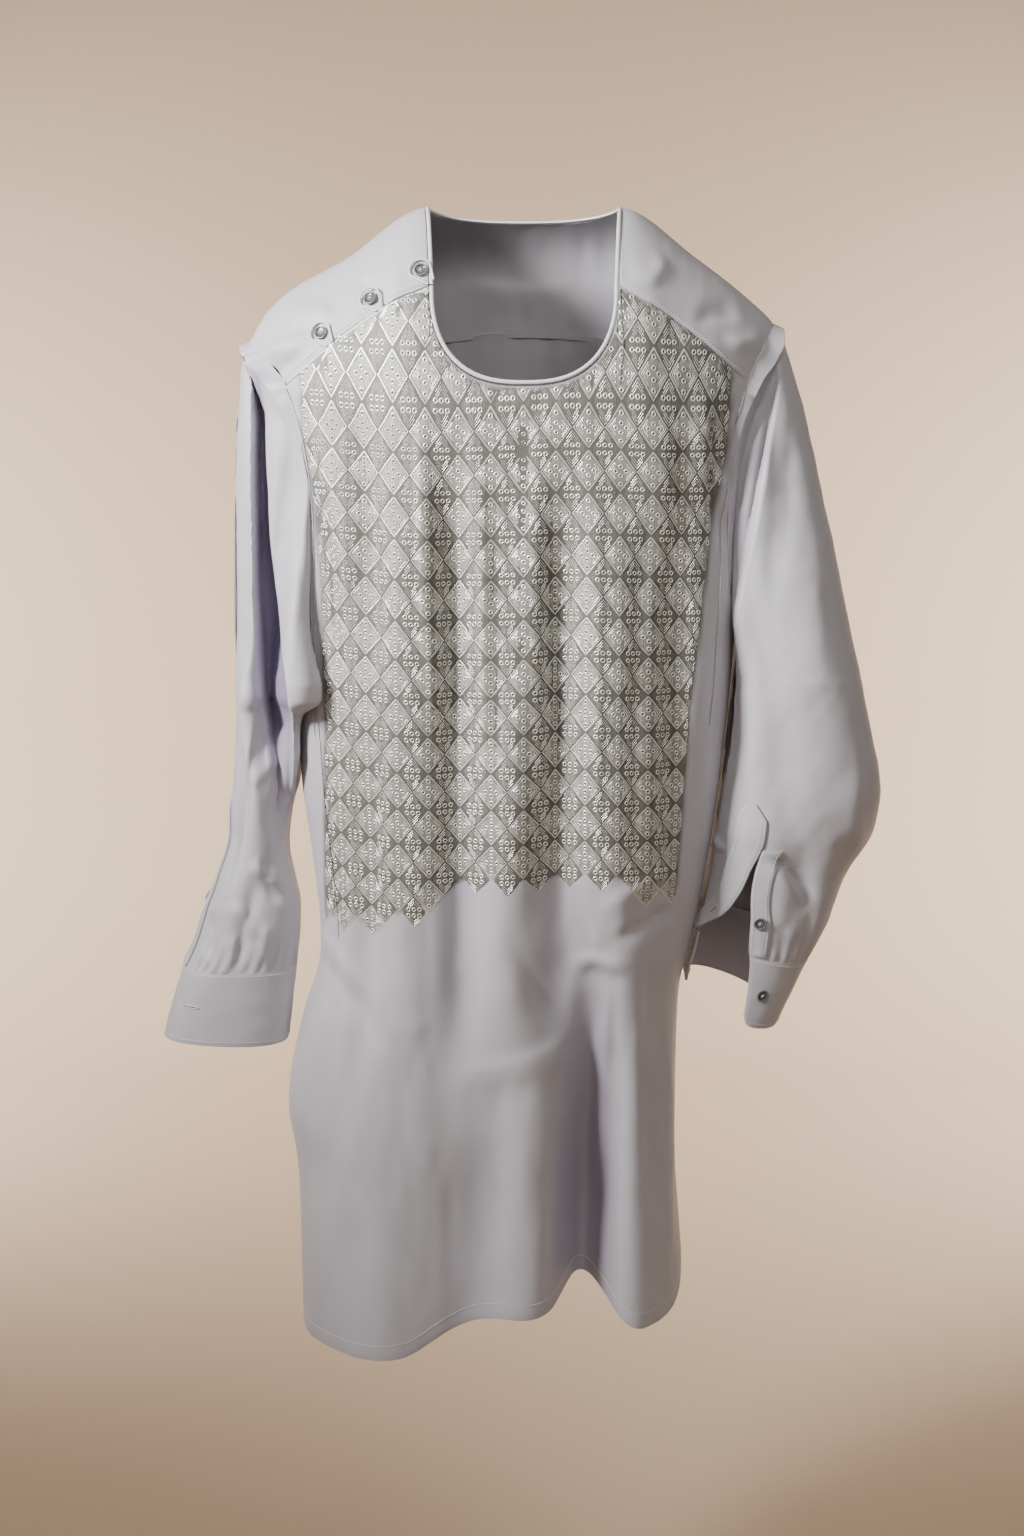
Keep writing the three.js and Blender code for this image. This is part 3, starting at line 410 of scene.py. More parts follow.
def cloth_height(face, x, z, place="body"):
    """Creases and unevenness of the body's cloth."""
    if place == "yoke":
        creases = YOKE_FRONT_CREASES if face < 0 else YOKE_BACK_CREASES
    else:
        creases = FRONT_CREASES if face < 0 else BACK_CREASES
    height = crease_height(x, z, creases)
    height = height + 1.3 * soft_noise(x * 1.8, z * 0.45, 46, 3 + face)
    return height + 0.5 * soft_noise(x * 1.6, z * 0.6, 17, 9 + face)


def body_hollow(face, places):
    """How deep in a fold the body's cloth lies, from 0 to 1: the mask of its painted fold shade."""
    swell = fold_swell(face, places[:, 0], places[:, 2])
    swell = swell + cloth_height(face, places[:, 0], places[:, 2])
    return np.clip((-swell - 2) / 16, 0, 1) ** 0.8


def cloth_on_body(u, s, place="body"):
    """The body's surface with its creases."""
    u, s = np.broadcast_arrays(np.asarray(u, float), np.asarray(s, float))
    points = on_body(u, s)
    normals = body_normal(u, s)
    front = cloth_height(-1, points[..., 0], points[..., 2], place)
    back = cloth_height(1, points[..., 0], points[..., 2], place)
    height = np.where(s < 0, front, back)
    calm = smooth_step(0, 60, np.abs(s)) * smooth_step(0, 0.25, 1 - np.abs(u))
    return points + normals * (height * calm)[..., None]


# Neck opening and its bound edge
NECK = SimpleNamespace(
    half=75, centre=0.5, corner_drop=124, front_drop=67, point_half=81, back_drop=42, power=2.6
)
BINDING_WIDTH = 3
BINDING_GAP = 1
NECK_MARGIN = BINDING_WIDTH + BINDING_GAP


def signed_power(value, power):
    return np.sign(value) * np.abs(value) ** power


def neck_front(angle, margin):
    x = NECK.centre - (NECK.half + margin) * signed_power(np.cos(angle), 2 / NECK.power)
    s = -NECK.corner_drop - (NECK.front_drop + margin) * np.abs(np.sin(angle)) ** (2 / NECK.power)
    return x, s


def neck_side(side, way, margin):
    x = NECK.centre + side * (mix(NECK.half, NECK.point_half, way) + margin)
    return x, -NECK.corner_drop * (1 - way)


def neck_back(angle, margin):
    x = NECK.centre - (NECK.point_half + margin) * signed_power(np.cos(angle), 2 / NECK.power)
    return x, (NECK.back_drop + margin) * np.abs(np.sin(angle)) ** (2 / NECK.power)


def from_neck(x, s):
    """The body's coordinates of places given by x and the way from the ridge."""
    x, s = np.broadcast_arrays(np.asarray(x, float), np.asarray(s, float))
    u = np.zeros(x.shape)
    for _ in range(6):
        z = on_body(u, s)[..., 2]
        u = np.where(s < 0, place_of(-1, x, z)[0], place_of(1, x, z)[0])
    return u, s


front_seam_at = {
    RIGHT: table("way x z", [[0, -202, YOKE_END], [0.3, -153, -108], [0.66, -107, -79], [1, -75, -67.5]]),
    LEFT: table("way x z", [[0, 190, YOKE_END], [0.3, 148, -111], [0.66, 114, -87], [1, 76, -67.5]]),
}


def back_seam_height(x):
    return -104 - 0.0009 * x * x


# Columns between the seams round an armhole, in the part's source
RING_YOKE = 4
RING_FRONT = 9
RING_BACK = 9
RING_LAST = RING_FRONT + RING_BACK + 2 * RING_YOKE
SLIT_COLUMN = {RIGHT: 0, LEFT: RING_YOKE + 4}


def armhole_angle(side, z):
    top = ARMHOLE_TOP[side]
    return math.acos(1 - 2 * (z - top) / (UNDERARM - top))


def front_seam_angle(side):
    return armhole_angle(side, YOKE_END)


def back_seam_angle(side):
    return armhole_angle(side, back_seam_height(armhole_edge_at[side](YOKE_END).back))


def ring_angles(side):
    front = front_seam_angle(side)
    back = 2 * math.pi - back_seam_angle(side)
    turn = np.concatenate([
        np.linspace(0, front, RING_YOKE, endpoint=False),
        np.linspace(front, math.pi, RING_FRONT, endpoint=False),
        np.linspace(math.pi, back, RING_BACK, endpoint=False),
        np.linspace(back, 2 * math.pi, RING_YOKE, endpoint=False),
    ])
    first = SLIT_COLUMN[side]
    return np.concatenate([turn[first:], turn[: first + 1] + 2 * math.pi])


def armhole_seam(side, angle, face=None):
    """Places on an armhole seam: angle 0 is on the ridge, 90 in front, 180 at the underarm."""
    angle = np.asarray(angle, float)
    z = mix(ARMHOLE_TOP[side], UNDERARM, (1 - np.cos(angle)) / 2)
    edge = armhole_edge_at[side](z)
    front = place_of(-1, edge.front, z)
    back = place_of(1, edge.back, z)
    if face is None:
        in_front = np.sin(angle) > 0
    else:
        in_front = np.full(angle.shape, face < 0)
    return np.where(in_front, front[0], back[0]), np.where(in_front, front[1], back[1])


# Hem of each face, with rounded shirt-tail corners
HEM_CORNER = 46
HEM_REACH = 1000
hem_at = table("x front back", [
    [-206, -1010, -988],
    [-110, -1006, -992],
    [-69, -986, -994],
    [-30, -973, -994],
    [25, -968, -994],
    [50, -952, -993],
    [74, -962, -992],
    [92, -980, -991],
    [114, -987, -990],
    [134, -985, -988],
    [150, -974, -986],
])


def hem_place(face, u):
    """Place of the hem below a column, which keeps its own way round the body."""
    probe = on_body(u, face * HEM_REACH)
    row = hem_at(probe[..., 0])
    height = row.front if face < 0 else row.back
    edge = on_body(np.where(u < 0, -1.0, 1.0), face * HEM_REACH)
    inset = np.minimum(np.hypot(edge[..., 0] - probe[..., 0], edge[..., 1] - probe[..., 1]), HEM_CORNER)
    lift = HEM_CORNER - np.sqrt(HEM_CORNER**2 - (HEM_CORNER - inset) ** 2)
    return u, place_of(face, probe[..., 0], height + lift)[1]


# Meshes
def link(name, points, faces, material, coordinates=None):
    """A smooth mesh object in metres; coordinates are its cloth coordinates, in metres too."""
    mesh = bpy.data.meshes.new(name)
    mesh.from_pydata((np.asarray(points) * MM).tolist(), [], faces)
    mesh.validate()
    if coordinates is not None:
        layer = mesh.uv_layers.new(name="Cloth")
        corners = np.empty(len(mesh.loops), np.int32)
        mesh.loops.foreach_get("vertex_index", corners)
        layer.data.foreach_set("uv", np.asarray(coordinates)[corners].astype(np.float32).ravel())
    mesh.shade_smooth()
    mesh.set_sharp_from_angle(angle=math.radians(52))
    mesh.materials.append(material)
    piece = bpy.data.objects.new(name, mesh)
    bpy.context.collection.objects.link(piece)
    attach(piece, "root")
    return piece


def mark(piece, name, values):
    """Stores a number at each point of a mesh for its material."""
    layer = piece.data.attributes.new(name, "FLOAT", "POINT")
    layer.data.foreach_set("value", np.asarray(values, np.float32))


def mesh_places(piece):
    """The points of a mesh, in millimetres."""
    places = np.empty(len(piece.data.vertices) * 3, np.float32)
    piece.data.vertices.foreach_get("co", places)
    return places.reshape(-1, 3) / MM


def grid_normals(grid, outward=1.0, closed=False):
    """Normals of a grid of points; a closed grid joins its last column to its first."""
    if closed:
        wide = np.concatenate([grid[:, -2:-1], grid, grid[:, 1:2]], axis=1)
        across = (wide[:, 2:] - wide[:, :-2]) / 2
    else:
        across = np.gradient(grid, axis=1)
    return unit(np.cross(across, np.gradient(grid, axis=0))) * outward


def wall(name, grid, material, thickness, outward=1.0, joined_rows=0, normals=None, soften=0.0):
    """A closed wall of cloth under a grid of outer points, with its cloth coordinates."""
    rows, columns = grid.shape[:2]
    if normals is None:
        normals = grid_normals(grid, outward)
    if joined_rows:
        ring = grid_normals(grid, outward, closed=True)
        normals = np.concatenate([ring[:joined_rows], normals[joined_rows:]])
    grid = grid.copy()
    if soften:
        grid[0] -= normals[0] * soften
        grid[-1] -= normals[-1] * soften
        if joined_rows < rows:
            grid[joined_rows:, 0] -= normals[joined_rows:, 0] * soften
            grid[joined_rows:, -1] -= normals[joined_rows:, -1] * soften
    index = np.arange(rows * columns).reshape(rows, columns)
    if joined_rows:
        index[:joined_rows, -1] = index[:joined_rows, 0]
    outer = grid.reshape(-1, 3)
    inner = (grid - normals * thickness).reshape(-1, 3)
    count = rows * columns
    a, b, c, d = index[:-1, :-1], index[:-1, 1:], index[1:, 1:], index[1:, :-1]
    quads = np.stack([a, b, c, d], axis=-1).reshape(-1, 4)
    facing = np.cross(outer[quads[:, 2]] - outer[quads[:, 0]], outer[quads[:, 3]] - outer[quads[:, 1]])
    flat_normals = normals.reshape(-1, 3)
    if (facing * flat_normals[quads[:, 0]]).sum() < 0:
        quads = quads[:, ::-1]
    edges = np.concatenate([quads[:, [0, 1]], quads[:, [1, 2]], quads[:, [2, 3]], quads[:, [3, 0]]])
    keys = edges[:, 0].astype(np.int64) * (2 * count) + edges[:, 1]
    reverse = edges[:, 1].astype(np.int64) * (2 * count) + edges[:, 0]
    border = edges[~np.isin(keys, reverse)]
    rim = np.stack([border[:, 1], border[:, 0], border[:, 0] + count, border[:, 1] + count], axis=-1)
    faces = np.concatenate([quads, quads[:, ::-1] + count, rim])
    used = np.unique(faces)
    renumbered = np.zeros(2 * count, np.int64)
    renumbered[used] = np.arange(len(used))
    points = np.concatenate([outer, inner])[used]
    across = np.cumsum(np.linalg.norm(np.diff(grid, axis=1, prepend=grid[:, :1]), axis=2), axis=1)
    down = np.cumsum(np.linalg.norm(np.diff(grid, axis=0, prepend=grid[:1]), axis=2), axis=0)
    across -= across[:, columns // 2][:, None]
    lengths = np.stack([across, -down], axis=-1).reshape(-1, 2) * MM
    coordinates = np.concatenate([lengths, lengths])[used]
    return link(name, points, renumbered[faces].tolist(), material, coordinates)


def sweep(points, across, out, section, closed=False):
    """Points and faces of a section swept along a path."""
    section = np.asarray(section, float)
    sides = len(section)
    path = points[:, None] + across[:, None] * section[None, :, :1] + out[:, None] * section[None, :, 1:]
    count = len(points)
    faces = []
    for j in range(count if closed else count - 1):
        for i in range(sides):
            after = (j + 1) % count
            faces.append([
                j * sides + i, j * sides + (i + 1) % sides,
                after * sides + (i + 1) % sides, after * sides + i,
            ])
    if not closed:
        faces.append(list(range(sides))[::-1])
        faces.append([(count - 1) * sides + i for i in range(sides)])
    return path.reshape(-1, 3), faces


def joined(parts):
    """One list of points and faces from several."""
    points = []
    faces = []
    start = 0
    for part_points, part_faces in parts:
        points.append(part_points)
        faces += [[corner + start for corner in face] for face in part_faces]
        start += len(part_points)
    return np.concatenate(points), faces


def round_section(radius, sides, flat=1.0):
    angles = np.arange(sides) * 2 * math.pi / sides
    return [(math.cos(a) * radius, math.sin(a) * radius * flat) for a in angles]


def swept_coordinates(run, sides, spacing=1.0):
    """Cloth coordinates of a swept section: along it, and round it."""
    round_it = np.tile(np.arange(sides) * spacing, len(run))
    return np.stack([np.repeat(run, sides), round_it], -1) * MM


def run_along(points):
    """Distance along a line at each of its points."""
    return np.concatenate([[0], np.cumsum(np.linalg.norm(np.diff(points, axis=0), axis=1))])


def read_line(at, run, values):
    """Values of a line at distances along it."""
    return np.stack([np.interp(at, run, values[:, c]) for c in range(3)], axis=-1)


# Materials
def new_group(name, inputs, outputs):
    """A shader node group with its sockets; inputs are (name, kind, default)."""
    group = bpy.data.node_groups.new(name, "ShaderNodeTree")
    for label, kind, default in inputs:
        socket = group.interface.new_socket(label, in_out="INPUT", socket_type=kind)
        if default is not None:
            socket.default_value = default
    for label, kind in outputs:
        group.interface.new_socket(label, in_out="OUTPUT", socket_type=kind)
    entry = group.nodes.new("NodeGroupInput")
    leaving = group.nodes.new("NodeGroupOutput")
    return group, entry.outputs, leaving.inputs


def node(tree, kind, inputs=None, **settings):
    """Adds a node, sets its fields, and feeds its inputs with values or links."""
    made = tree.nodes.new(kind)
    for name, value in settings.items():
        setattr(made, name, value)
    for key, value in (inputs or {}).items():
        if isinstance(value, bpy.types.NodeSocket):
            tree.links.new(value, made.inputs[key])
        else:
            made.inputs[key].default_value = value
    return made


def calculate(tree, operation, first, second=0.0, third=None):
    inputs = {0: first, 1: second}
    if third is not None:
        inputs[2] = third
    return node(tree, "ShaderNodeMath", inputs, operation=operation).outputs[0]


def weave_group():
    """Fine threads of the cloth: two crossed sets of ribs, and slubs that make them uneven."""
    group, entry, leaving = new_group(
        "Woven threads",
        [("Threads per Metre", "NodeSocketFloat", 1500.0), ("Slub", "NodeSocketFloat", 0.5)],
        [("Height", "NodeSocketFloat"), ("Shade", "NodeSocketFloat")],
    )
    cloth = node(group, "ShaderNodeUVMap", uv_map="Cloth").outputs[0]
    split = node(group, "ShaderNodeSeparateXYZ", {0: cloth}).outputs
    turns = calculate(group, "MULTIPLY", entry["Threads per Metre"], 2 * math.pi)
    ribs = []
    for axis in (0, 1):
        angle = calculate(group, "MULTIPLY", split[axis], turns)
        ribs.append(calculate(group, "SINE", angle))
    crossed = calculate(group, "MULTIPLY", ribs[0], ribs[1])
    stretched = node(group, "ShaderNodeMapping", {0: cloth, "Scale": (900.0, 60.0, 1.0)}).outputs[0]
    slubs = node(group, "ShaderNodeTexNoise", {"Vector": stretched, "Scale": 1.0, "Detail": 2.0}).outputs[0]
    centred = calculate(group, "SUBTRACT", slubs, 0.5)
    uneven = calculate(group, "MULTIPLY", centred, entry["Slub"])
    total = calculate(group, "MULTIPLY_ADD", crossed, 0.2, uneven)
    group.links.new(total, leaving["Height"])
    wide = node(group, "ShaderNodeTexNoise", {"Vector": cloth, "Scale": 14.0, "Detail": 3.0}).outputs[0]
    shade = calculate(group, "MULTIPLY_ADD", wide, 0.16, 0.92)
    group.links.new(shade, leaving["Shade"])
    return group


def principled(material):
    return material.node_tree.nodes["Principled BSDF"]


def new_material(name, **sockets):
    material = bpy.data.materials.new(name)
    material.use_nodes = True
    shader = principled(material)
    for label, value in sockets.items():
        shader.inputs[label.replace("_", " ")].default_value = value
    return material


def rgba(colour):
    """A colour as a socket's value; a socket stays as it is."""
    return colour if isinstance(colour, bpy.types.NodeSocket) else (*colour, 1.0)


def mixed_colour(tree, factor, first, second, **settings):
    """One colour mixed with another."""
    inputs = {0: factor, 6: rgba(first), 7: rgba(second)}
    return node(tree, "ShaderNodeMix", inputs, data_type="RGBA", **settings).outputs[2]


def shaded_colour(tree, colour, shade):
    """A colour times a grey value."""
    grey = node(tree, "ShaderNodeCombineColor", {0: shade, 1: shade, 2: shade}).outputs[0]
    return mixed_colour(tree, 1.0, colour, grey, blend_type="MULTIPLY")


def marked_colour(tree, name, plain, marked):
    """One colour where a mark is 0, another where it is 1."""
    mask = node(tree, "ShaderNodeAttribute", attribute_name=name).outputs["Fac"]
    return mixed_colour(tree, mask, plain, marked)


def speckle(material, dark, light, size):
    """Uneven colour between two tones, with spots of about a size in metres."""
    tree = material.node_tree
    place = node(tree, "ShaderNodeTexCoord").outputs["Object"]
    inputs = {"Vector": place, "Scale": 1 / size, "Detail": 3.0, "Distortion": 1.5}
    spots = node(tree, "ShaderNodeTexNoise", inputs).outputs[0]
    tree.links.new(mixed_colour(tree, spots, dark, light), principled(material).inputs["Base Color"])


def fold_shade_group():
    """Painted shade: the colour made darker and more violet in the hollows of the folds."""
    group, entry, leaving = new_group(
        "Fold shade",
        [("Colour", "NodeSocketColor", None), ("Depth", "NodeSocketFloat", 0.6)],
        [("Colour", "NodeSocketColor")],
    )
    hollow = node(group, "ShaderNodeAttribute", attribute_name="hollow").outputs["Fac"]
    share = calculate(group, "MULTIPLY", hollow, entry["Depth"])
    deeper = mixed_colour(group, share, entry["Colour"], HOLLOW_SHADE_TINT, blend_type="MULTIPLY")
    group.links.new(deeper, leaving["Colour"])
    return group


def add_fold_shade(material, group, colour, depth):
    """Puts the painted fold shade between a colour and the shader."""
    tree = material.node_tree
    shade = node(tree, "ShaderNodeGroup", node_tree=group)
    shade.inputs["Depth"].default_value = depth
    tree.links.new(colour, shade.inputs["Colour"])
    tree.links.new(shade.outputs["Colour"], principled(material).inputs["Base Color"])


def add_weave(material, group, colour, threads, slub, strength, distance):
    """Weave height and shade on a material, from the shared group."""
    tree = material.node_tree
    weave = node(tree, "ShaderNodeGroup", node_tree=group)
    weave.inputs["Threads per Metre"].default_value = threads
    weave.inputs["Slub"].default_value = slub
    bump = node(tree, "ShaderNodeBump", {"Strength": strength, "Distance": distance})
    tree.links.new(weave.outputs["Height"], bump.inputs["Height"])
    tree.links.new(bump.outputs[0], principled(material).inputs["Normal"])
    tint = shaded_colour(tree, colour, weave.outputs["Shade"])
    tree.links.new(tint, principled(material).inputs["Base Color"])
    return tint


# Weaves: threads per metre, slub, bump strength and bump distance in metres
COTTON_WEAVE = (1500.0, 0.6, 0.25, 0.0004)
THREAD_WEAVE = (1400.0, 0.9, 0.4, 0.0003)
STITCH_WEAVE = (1100.0, 1.0, 0.5, 0.0006)
PIPING_WEAVE = (1800.0, 0.5, 0.2, 0.0003)
PIPING_COLOUR = (0.74, 0.73, 0.78)
# Painted shade: the tint that darkens the cloth in the hollows of its folds
HOLLOW_SHADE_TINT = (0.36, 0.3, 0.52)


class Finishes:
    """The materials, made once and shared by the operators."""

    made = {}

    @classmethod
    def get(cls, name):
        if not cls.made:
            cls.build()
        return cls.made[name]

    @classmethod
    def build(cls):
        look = bpy.context.scene.perahan_cloth
        stitch = bpy.context.scene.perahan_embroidery
        weave = weave_group()
        cotton = {"Roughness": look.roughness, "Sheen_Weight": 0.1, "Sheen_Roughness": 0.4}
        cloth = new_material("Lavender cotton", **cotton)
        fold_shade = fold_shade_group()
        dyed = add_weave(cloth, weave, look.colour, *COTTON_WEAVE)
        # Painted shade in the folds: strong on the plain cloth, weaker on the worked front
        add_fold_shade(cloth, fold_shade, dyed, 0.75)
        front = new_material("Worked cotton", **cotton)
        # The worked area: its own colour, darkened as painted shade in the gaps between the diamonds
        worked = marked_colour(front.node_tree, "worked", look.colour, stitch.worked_and_gap_shade_colour)
        worked = add_weave(front, weave, worked, *COTTON_WEAVE)
        add_fold_shade(front, fold_shade, worked, 0.35)
        thread = new_material(
            "Silver thread", Roughness=stitch.thread_roughness, Metallic=stitch.thread_metal,
        )
        add_weave(thread, weave, stitch.thread_colour, *THREAD_WEAVE)
        plate = new_material("Close stitches", Roughness=0.4, Metallic=0.3)
        # The outlined diamonds take the lighter colour of painted sheen
        tones = marked_colour(plate.node_tree, "outlined", stitch.plate_colour, stitch.sheen_plate_colour)
        add_weave(plate, weave, tones, *STITCH_WEAVE)
        piping = new_material("Pale piping", Roughness=0.42, Sheen_Weight=0.2)
        add_weave(piping, weave, PIPING_COLOUR, *PIPING_WEAVE)
        pearl = new_material("Grey pearl", Roughness=0.22, Coat_Weight=0.5)
        # Painted shade: the dished ring inside the button's rim made much darker than the rim
        rim = marked_colour(pearl.node_tree, "recess_shade", (0.34, 0.34, 0.35), (0.05, 0.05, 0.055))
        speckle(pearl, (0.07, 0.07, 0.075), rim, 0.0035)
        # Painted shade: near-black discs and bars that stand for the shade inside each button hole and
        # buttonhole slit
        hole_shade = new_material("Hole shade", Roughness=0.8)
        speckle(hole_shade, (0.006, 0.006, 0.008), (0.02, 0.02, 0.024), 0.0006)
        # Painted shade: dark discs that stand for the shade in the hole at the middle of each ring
        eyelet_shade = new_material("Eyelet shade", Roughness=0.7)
        speckle(eyelet_shade, (0.05, 0.05, 0.045), (0.11, 0.11, 0.1), 0.0012)
        sewing = new_material("Sewing thread", Roughness=0.5)
        speckle(sewing, (0.6, 0.59, 0.62), (0.9, 0.89, 0.92), 0.0009)
        cls.made = {
            "cloth": cloth, "front": front, "thread": thread, "piping": piping, "pearl": pearl,
            "hole_shade": hole_shade, "sewing": sewing, "ground": plate, "eyelet_shade": eyelet_shade,
        }


class PerahanCloth(bpy.types.PropertyGroup):
    """Sizes and colours of the cloth."""

    thickness: FloatProperty(
        name="Thickness", description="Thickness of the cloth, seam allowances included",
        default=0.0009, min=0.0003, max=0.003, unit="LENGTH",
    )
    colour: FloatVectorProperty(
        name="Colour", description="Colour of the plain cotton",
        default=(0.545, 0.532, 0.585), min=0, max=1, subtype="COLOR",
    )
    roughness: FloatProperty(
        name="Roughness", description="How dull the cotton is", default=0.46, min=0, max=1,
        subtype="FACTOR",
    )


class PerahanEmbroidery(bpy.types.PropertyGroup):
    """Sizes and colours of the embroidery."""

    pitch_width: FloatProperty(
        name="Repeat Width", description="Width of one diamond with its share of the gap",
        default=0.027, min=0.01, max=0.1, unit="LENGTH",
    )
    pitch_height: FloatProperty(
        name="Repeat Height", description="Height of one diamond with its share of the gap",
        default=0.0333, min=0.01, max=0.1, unit="LENGTH",
    )
    thread_rise: FloatProperty(
        name="Thread Rise", description="How far the satin stitches stand off the cloth",
        default=0.0003, min=0.0001, max=0.003, unit="LENGTH",
    )
    thread_colour: FloatVectorProperty(
        name="Thread", description="Colour of the silk thread", default=(0.86, 0.855, 0.83),
        min=0, max=1, subtype="COLOR",
    )
    # Partly the worked cloth's own colour, partly painted shade: dark in the gaps between the raised diamonds,
    # where shade falls
    worked_and_gap_shade_colour: FloatVectorProperty(
        name="Gaps", description="Colour of the worked cloth in the gaps between the diamonds",
        default=(0.13, 0.13, 0.12), min=0, max=1, subtype="COLOR",
    )
    plate_colour: FloatVectorProperty(
        name="Ground", description="Colour of the close stitches under the rings and chevrons",
        default=(0.2, 0.2, 0.18), min=0, max=1, subtype="COLOR",
    )
    # Painted sheen: a lighter colour for the close stitches of the outlined diamonds, standing in for the sheen
    # of their thread
    sheen_plate_colour: FloatVectorProperty(
        name="Sheen Ground", description="Colour of the close stitches in the outlined diamonds",
        default=(0.38, 0.38, 0.35), min=0, max=1, subtype="COLOR",
    )
    thread_roughness: FloatProperty(
        name="Thread Roughness", description="How dull the thread is", default=0.4, min=0, max=1,
        subtype="FACTOR",
    )
    thread_metal: FloatProperty(
        name="Thread Lustre", description="How metallic the thread looks", default=0.6, min=0,
        max=1, subtype="FACTOR",
    )


class PerahanStage(bpy.types.PropertyGroup):
    """Light and surroundings."""

    floor_drop: FloatProperty(
        name="Floor Drop", description="Height of the shoulders above the floor", default=1.46,
        min=0.5, max=3, unit="LENGTH",
    )
    key_power: FloatProperty(
        name="Key Light", description="Power of the window-like light, in watts", default=10.6,
        min=0, max=1000,
    )
    fill_power: FloatProperty(
        name="Fill Light", description="Power of the fill light, in watts", default=16.5, min=0,
        max=1000,
    )
    wall_power: FloatProperty(
        name="Wall Lights", description="Power of each light on the backdrop, in watts", default=38.0,
        min=0, max=1000,
    )
    backdrop_colour: FloatVectorProperty(
        name="Backdrop", description="Colour of the floor and backdrop",
        default=(0.72, 0.55, 0.39), min=0, max=1, subtype="COLOR",
    )


# Flat cuts in metres: width, length, and area in square metres
CUTS = {
    "front": (0.56, 0.94, 0.4),
    "back": (0.56, 0.9, 0.385),
    "yoke": (0.53, 0.24, 0.088),
    "sleeve_right": (0.37, 0.56, 0.142),
    "sleeve_left": (0.44, 0.58, 0.172),
    "cuff_right": (0.26, 0.072, 0.0185),
    "cuff_left": (0.25, 0.068, 0.0168),
    "placket_right": (0.016, 0.152, 0.0023),
    "placket_left": (0.02, 0.15, 0.0029),
    "slit_band_right": (0.01, 0.112, 0.0011),
    "slit_band_left": (0.016, 0.1, 0.0016),
}


def declare_sheet(piece, cut, *rests_on):
    width, length, area = CUTS[cut]


def cut_piece(name, grid, rests_on, finish="cloth", thickness=None, **shape):
    """A piece of cloth that stands for its solid, as a closed wall, with its cut looked up in the table of flat
    cuts.
    """
    if thickness is None:
        thickness = bpy.context.scene.perahan_cloth.thickness / MM
    piece = wall(f"{name}_cloth", grid, Finishes.get(finish), thickness, **shape)
    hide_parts(name)
    declare_sheet(piece, name, *rests_on)
    return piece


# Body panels. Their columns start between the same seams as in the part's source, only finer.
FRONT_ROWS = 232
BACK_ROWS = 180
ARMHOLE_COLUMNS = 36
SEAM_COLUMNS = 32
NECK_COLUMNS = 72
BACK_SEAM_COLUMNS = 95
# How far the front's columns run along each yoke seam towards the neck
RIGHT_SEAM_REACH = 0.985
LEFT_SEAM_REACH = 0.975
# Gathers below a sewn top edge: rows until they fade, height, and columns in a wave
PUCKER_REACH = 3
PUCKER_HEIGHT = 0.5
PUCKER_WAVE = 5.2
PANEL_SOFTENING = 0.5


def chained(parts):
    """One row of places from several."""
    return [np.concatenate([np.broadcast_to(part[k], part[0].shape) for part in parts]) for k in (0, 1)]


def front_top_edge():
    """Top edge of the front, from underarm to underarm: armhole, yoke seam, neck and back again."""
    rising = np.linspace(0, 1, ARMHOLE_COLUMNS, endpoint=False)
    falling = np.linspace(0, 1, ARMHOLE_COLUMNS)
    right = front_seam_at[RIGHT](np.linspace(0, 1, SEAM_COLUMNS, endpoint=False) * RIGHT_SEAM_REACH)
    left = front_seam_at[LEFT](np.linspace(1, 0, SEAM_COLUMNS, endpoint=False) * LEFT_SEAM_REACH)
    scoop = math.pi * (1 - np.cos(np.linspace(0.1, 3.02, NECK_COLUMNS))) / 2
    return chained([
        armhole_seam(RIGHT, mix(math.pi, front_seam_angle(RIGHT), rising), -1),
        place_of(-1, right.x, right.z - NECK_MARGIN - 1),
        from_neck(*neck_front(scoop, NECK_MARGIN)),
        place_of(-1, left.x, left.z - SEAM_GAP),
        armhole_seam(LEFT, mix(front_seam_angle(LEFT), math.pi, falling), -1),
    ])


def back_top_edge():
    """Top edge of the back, from underarm to underarm: armhole, yoke seam, armhole."""
    rising = np.linspace(0, 1, ARMHOLE_COLUMNS, endpoint=False)
    falling = np.linspace(0, 1, ARMHOLE_COLUMNS)
    start, end = [armhole_edge_at[side](YOKE_END).back for side in (RIGHT, LEFT)]
    x = np.linspace(start, end, BACK_SEAM_COLUMNS + 1)[:-1]
    return chained([
        armhole_seam(RIGHT, mix(math.pi, 2 * math.pi - back_seam_angle(RIGHT), rising), 1),
        place_of(1, x, back_seam_height(x) - SEAM_GAP),
        armhole_seam(LEFT, mix(2 * math.pi - back_seam_angle(LEFT), math.pi, falling), 1),
    ])


def panel_places(top, face, rows):
    """Places of a panel between its top edge and its hem."""
    shares = np.linspace(0, 1, len(top[0]))
    bottom = hem_place(face, mix(-1, 1, shares))
    ways = np.linspace(0, 1, rows + 1)[:, None]
    return mix(top[0], bottom[0], ways), mix(top[1], bottom[1], ways)


def seam_pucker(rows, columns):
    """Small gathers that die out a few rows below a sewn edge."""
    j = np.arange(rows)[:, None]
    i = np.arange(columns)[None, :]
    waves = np.sin(2 * math.pi * i / PUCKER_WAVE + 0.6 * np.sin(i / 5.3))
    return PUCKER_HEIGHT * waves * np.exp(-j / PUCKER_REACH)


